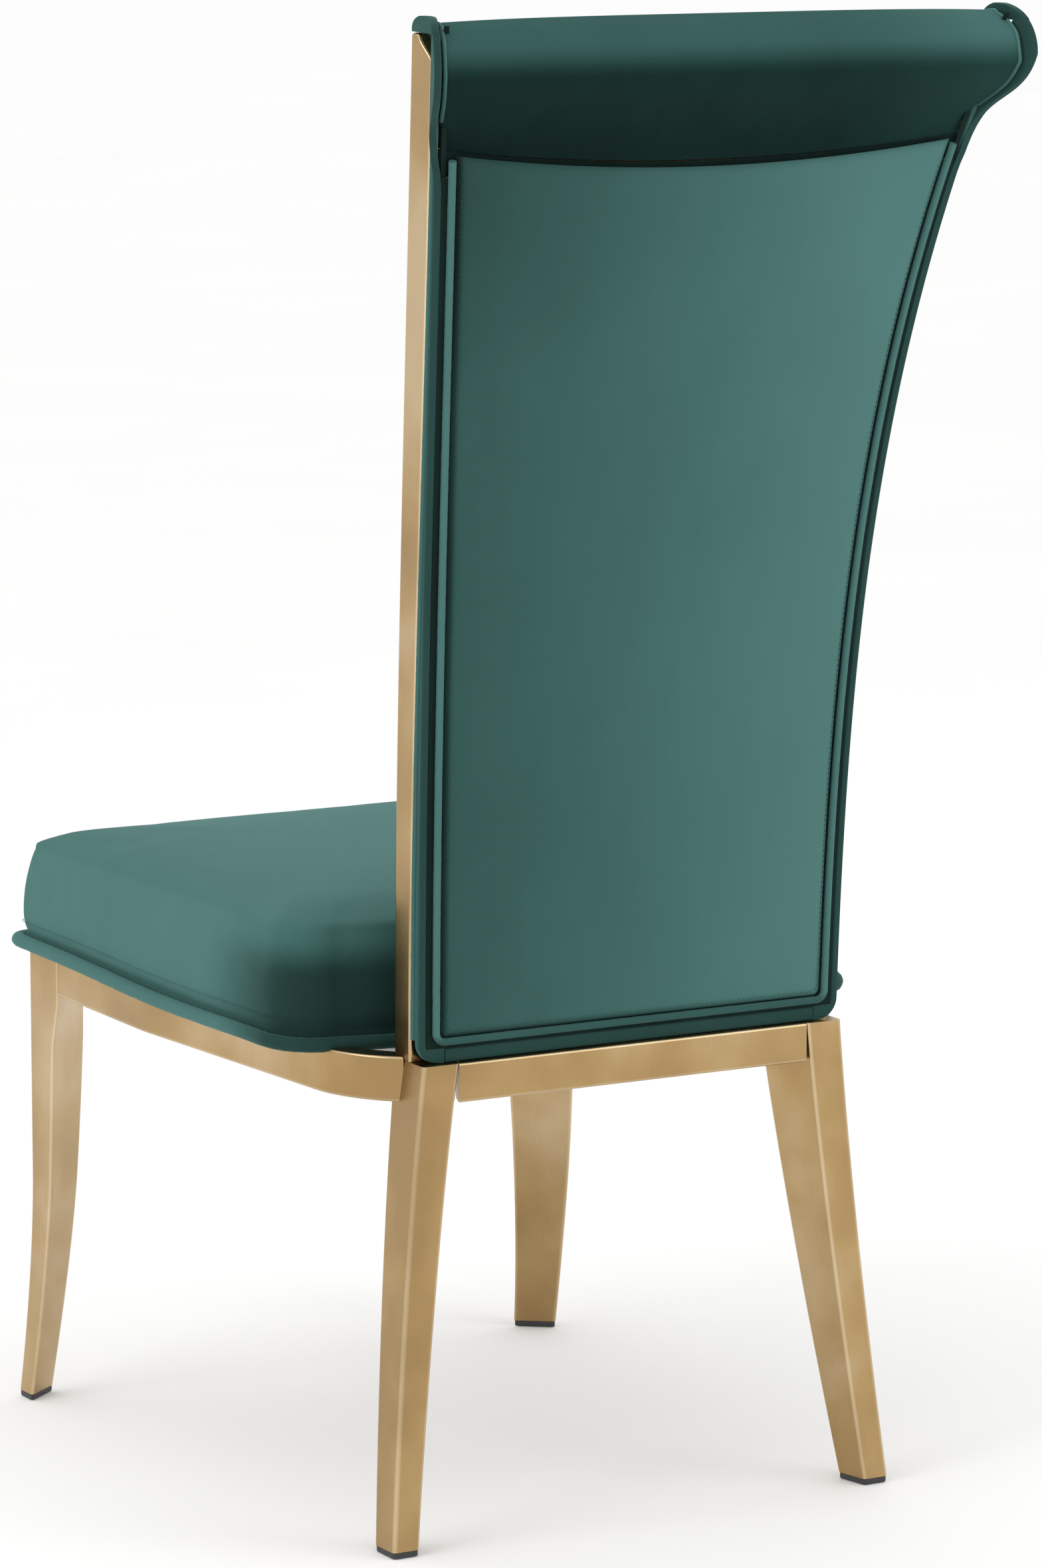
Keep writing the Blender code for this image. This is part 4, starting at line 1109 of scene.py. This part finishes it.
def makeRoll():
    line = [Vector((0, y, z)) for y, z in rollOutline()]
    fine = throughPoints(line, 0.0028)
    count = len(fine)
    middle = sum(fine, Vector()) / count
    rings = []
    ends = (0.0, 0.0007, 0.0018, 0.0034, 0.0056)
    stations = [(-1, e) for e in ends] + [(s, None) for s in spread(-0.965, 0.965, rollSettings["columns"])]
    stations += [(1, e) for e in reversed(ends)]
    for s, end in stations:
        inset = 0.0
        if end is not None:
            radius = rollSettings["end"]
            inset = radius - sqrt(max(0.0, radius**2 - (radius - min(end, radius)) ** 2))
        ring = []
        for p in fine:
            y, z = p.y, p.z
            behindBand = backFront(z) + bandStart(z) + 2 * cord["back"] + 0.0009
            half = outerHalf(y, z) - band["thick"] - rollSettings["gap"]
            if z < post["top"] + 0.001 and y < behindBand:
                behindPost = y > backFront(z) + postDepth(z) + 0.0008
                half = backHalf(z) - (0.0066 if behindPost else post["width"] + 0.0006)
            x = s * half if end is None else s * (half - end)
            t = x / half
            sag = 0.014 * (1 - t * t) * ease((1.075 - z) / 0.035) * ease((y - 0.292) / 0.012)
            crown = scroll["crown"] * (1 - t**4) * ease((z - 1.10) / 0.03)
            inward = (middle - p).normalized() * inset
            ring.append(Vector((x, y + inward.y, z - sag + crown + inward.z)))
        rings.append(ring)
    points = [p for ring in rings for p in ring]
    roll = meshFrom("backRoll", points, ringFaces(len(rings), count), velvetShade, sharp=75)
    blowUp(roll, rollCloth, lambda p: 1.0 if abs(p.x) > 0.17 or p.z < 1.05 else 0.0)
    declareVelvet(roll, rollPaintedLight, ["back_scroll"])
    lines = []
    for _, side in sides:
        path = []
        for p in fine:
            if p.y > 0.318 or p.z > post["top"] + 0.004:
                half = outerHalf(p.y, p.z) - band["thick"] - rollSettings["gap"] - 0.0010
                out = (p - middle).normalized() * -0.0004
                path.append(Vector((half * side, p.y + out.y, p.z + out.z)))
        lines.append(path)
    made = coveredCord("rollWelts", lines, 0.0015, sides=10)
    # The roll's welts are painted lighter towards the top: painted light.
    declareVelvet(made, lambda p: 0.35 + 0.6 * ease((p.z - 1.05) / 0.07))


# A strip of cloth closes the gap between the roll and the rear panel; it is painted near black as shadow.

tuckSettings = {"depths": (0.0296, 0.0322), "low": 1.0265, "high": 1.0450, "sag": 0.014, "margin": 0.0068,
                "columns": 61}


def makeTuck():
    columns = spread(-1, 1, tuckSettings["columns"])
    points = []
    for depth in tuckSettings["depths"]:
        for low in (True, False):
            for s in columns:
                z = tuckSettings["low"] if low else tuckSettings["high"] - tuckSettings["sag"] * (1 - s * s)
                half = backHalf(z) - tuckSettings["margin"]
                points.append(Vector((s * half, backFront(z) + depth, z)))
    wide = len(columns)
    faces = []
    for first, second in ((0, 1), (1, 3), (3, 2), (2, 0)):
        this, other = first * wide, second * wide
        faces += [(this + j, this + j + 1, other + j + 1, other + j) for j in range(wide - 1)]
    faces += [(0, wide, 3 * wide, 2 * wide), (wide - 1, 2 * wide - 1, 4 * wide - 1, 3 * wide - 1)]
    tuck = meshFrom("rollTuck", points, faces, velvetCloth, sharp=60)
    # Painted shadow: the tuck is near black.
    declareVelvet(tuck, lambda p: 0.02)


makeRoll()
makeTuck()
print("roll made")


# Hidden parts and fittings keep their shape, with finished surfaces.

def dress(names, finish):
    for name in names:
        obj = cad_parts[name]
        obj.data.materials.clear()
        obj.data.materials.append(finish)


# The lining is cut to the opening of the seat frame and stapled under the braces.

liningSettings = {"outline": ((0.18, -0.24), (0.19, 0.03), (0.14, 0.09), (-0.14, 0.09), (-0.19, 0.03),
                              (-0.18, -0.24)),
                  "braceGap": 0.0015, "braceHeight": 0.020, "below": 0.0022, "thick": 0.0006, "sag": 0.0045,
                  "gather": 0.0005, "flat": (0.38, 0.33), "area": 0.1197, "staplePitch": 0.032,
                  "stapleSize": (0.0009, 0.0006, 0.0095)}


def makeLining():
    outline = liningSettings["outline"]
    low = rail["top"] - liningSettings["braceGap"] - liningSettings["braceHeight"] - liningSettings["below"]
    rim = []
    for i, start in enumerate(outline):
        end = outline[(i + 1) % len(outline)]
        rim += [between(start, end, k / 24) for k in range(24)]
    middle = -0.075
    skins = []
    scales = [1, 0.995, 0.985, 0.96] + spread(0.92, 0.02, 22)
    for layer in (0.0, liningSettings["thick"]):
        rings = []
        for scale in scales:
            sag = liningSettings["sag"] * (1 - scale**2)
            ring = []
            for i, (x, y) in enumerate(rim):
                gather = liningSettings["gather"] * sin(i * 1.1) * scale**8
                ring.append(sloped((x * scale, middle + (y - middle) * scale, low + layer - sag + gather)))
            rings.append(ring)
        skins.append(rings)
    rings = list(reversed(skins[0])) + skins[1]
    flat = [p for ring in rings for p in ring]
    made = meshFrom("dustLining", flat, ringFaces(len(rings), len(rim)), blackLining, sharp=60)
    declare(made, ["dust_cover"])
    row = [sloped((x * 0.985, middle + (y - middle) * 0.985, low - 0.0004)) for x, y in rim]
    staples = stitches("liningStaples", [row], liningSettings["staplePitch"], liningSettings["stapleSize"],
                       closed=True, finish=zincSteel)
    declare(staples)


corners = [f"{end}_{word}" for end in ("front", "rear") for word, _ in sides]
dress(["seat_board", "back_inner_board", "back_rear_board"], birch)
dress(["seat_brace_front", "seat_brace_rear", "back_crossbar_lower", "back_crossbar_upper"], zincSteel)
dress([f"seat_screw_{corner}" for corner in corners], zincSteel)
dress([f"corner_plate_{corner}" for corner in corners], goldMetal)
makeLining()
print("fittings made")
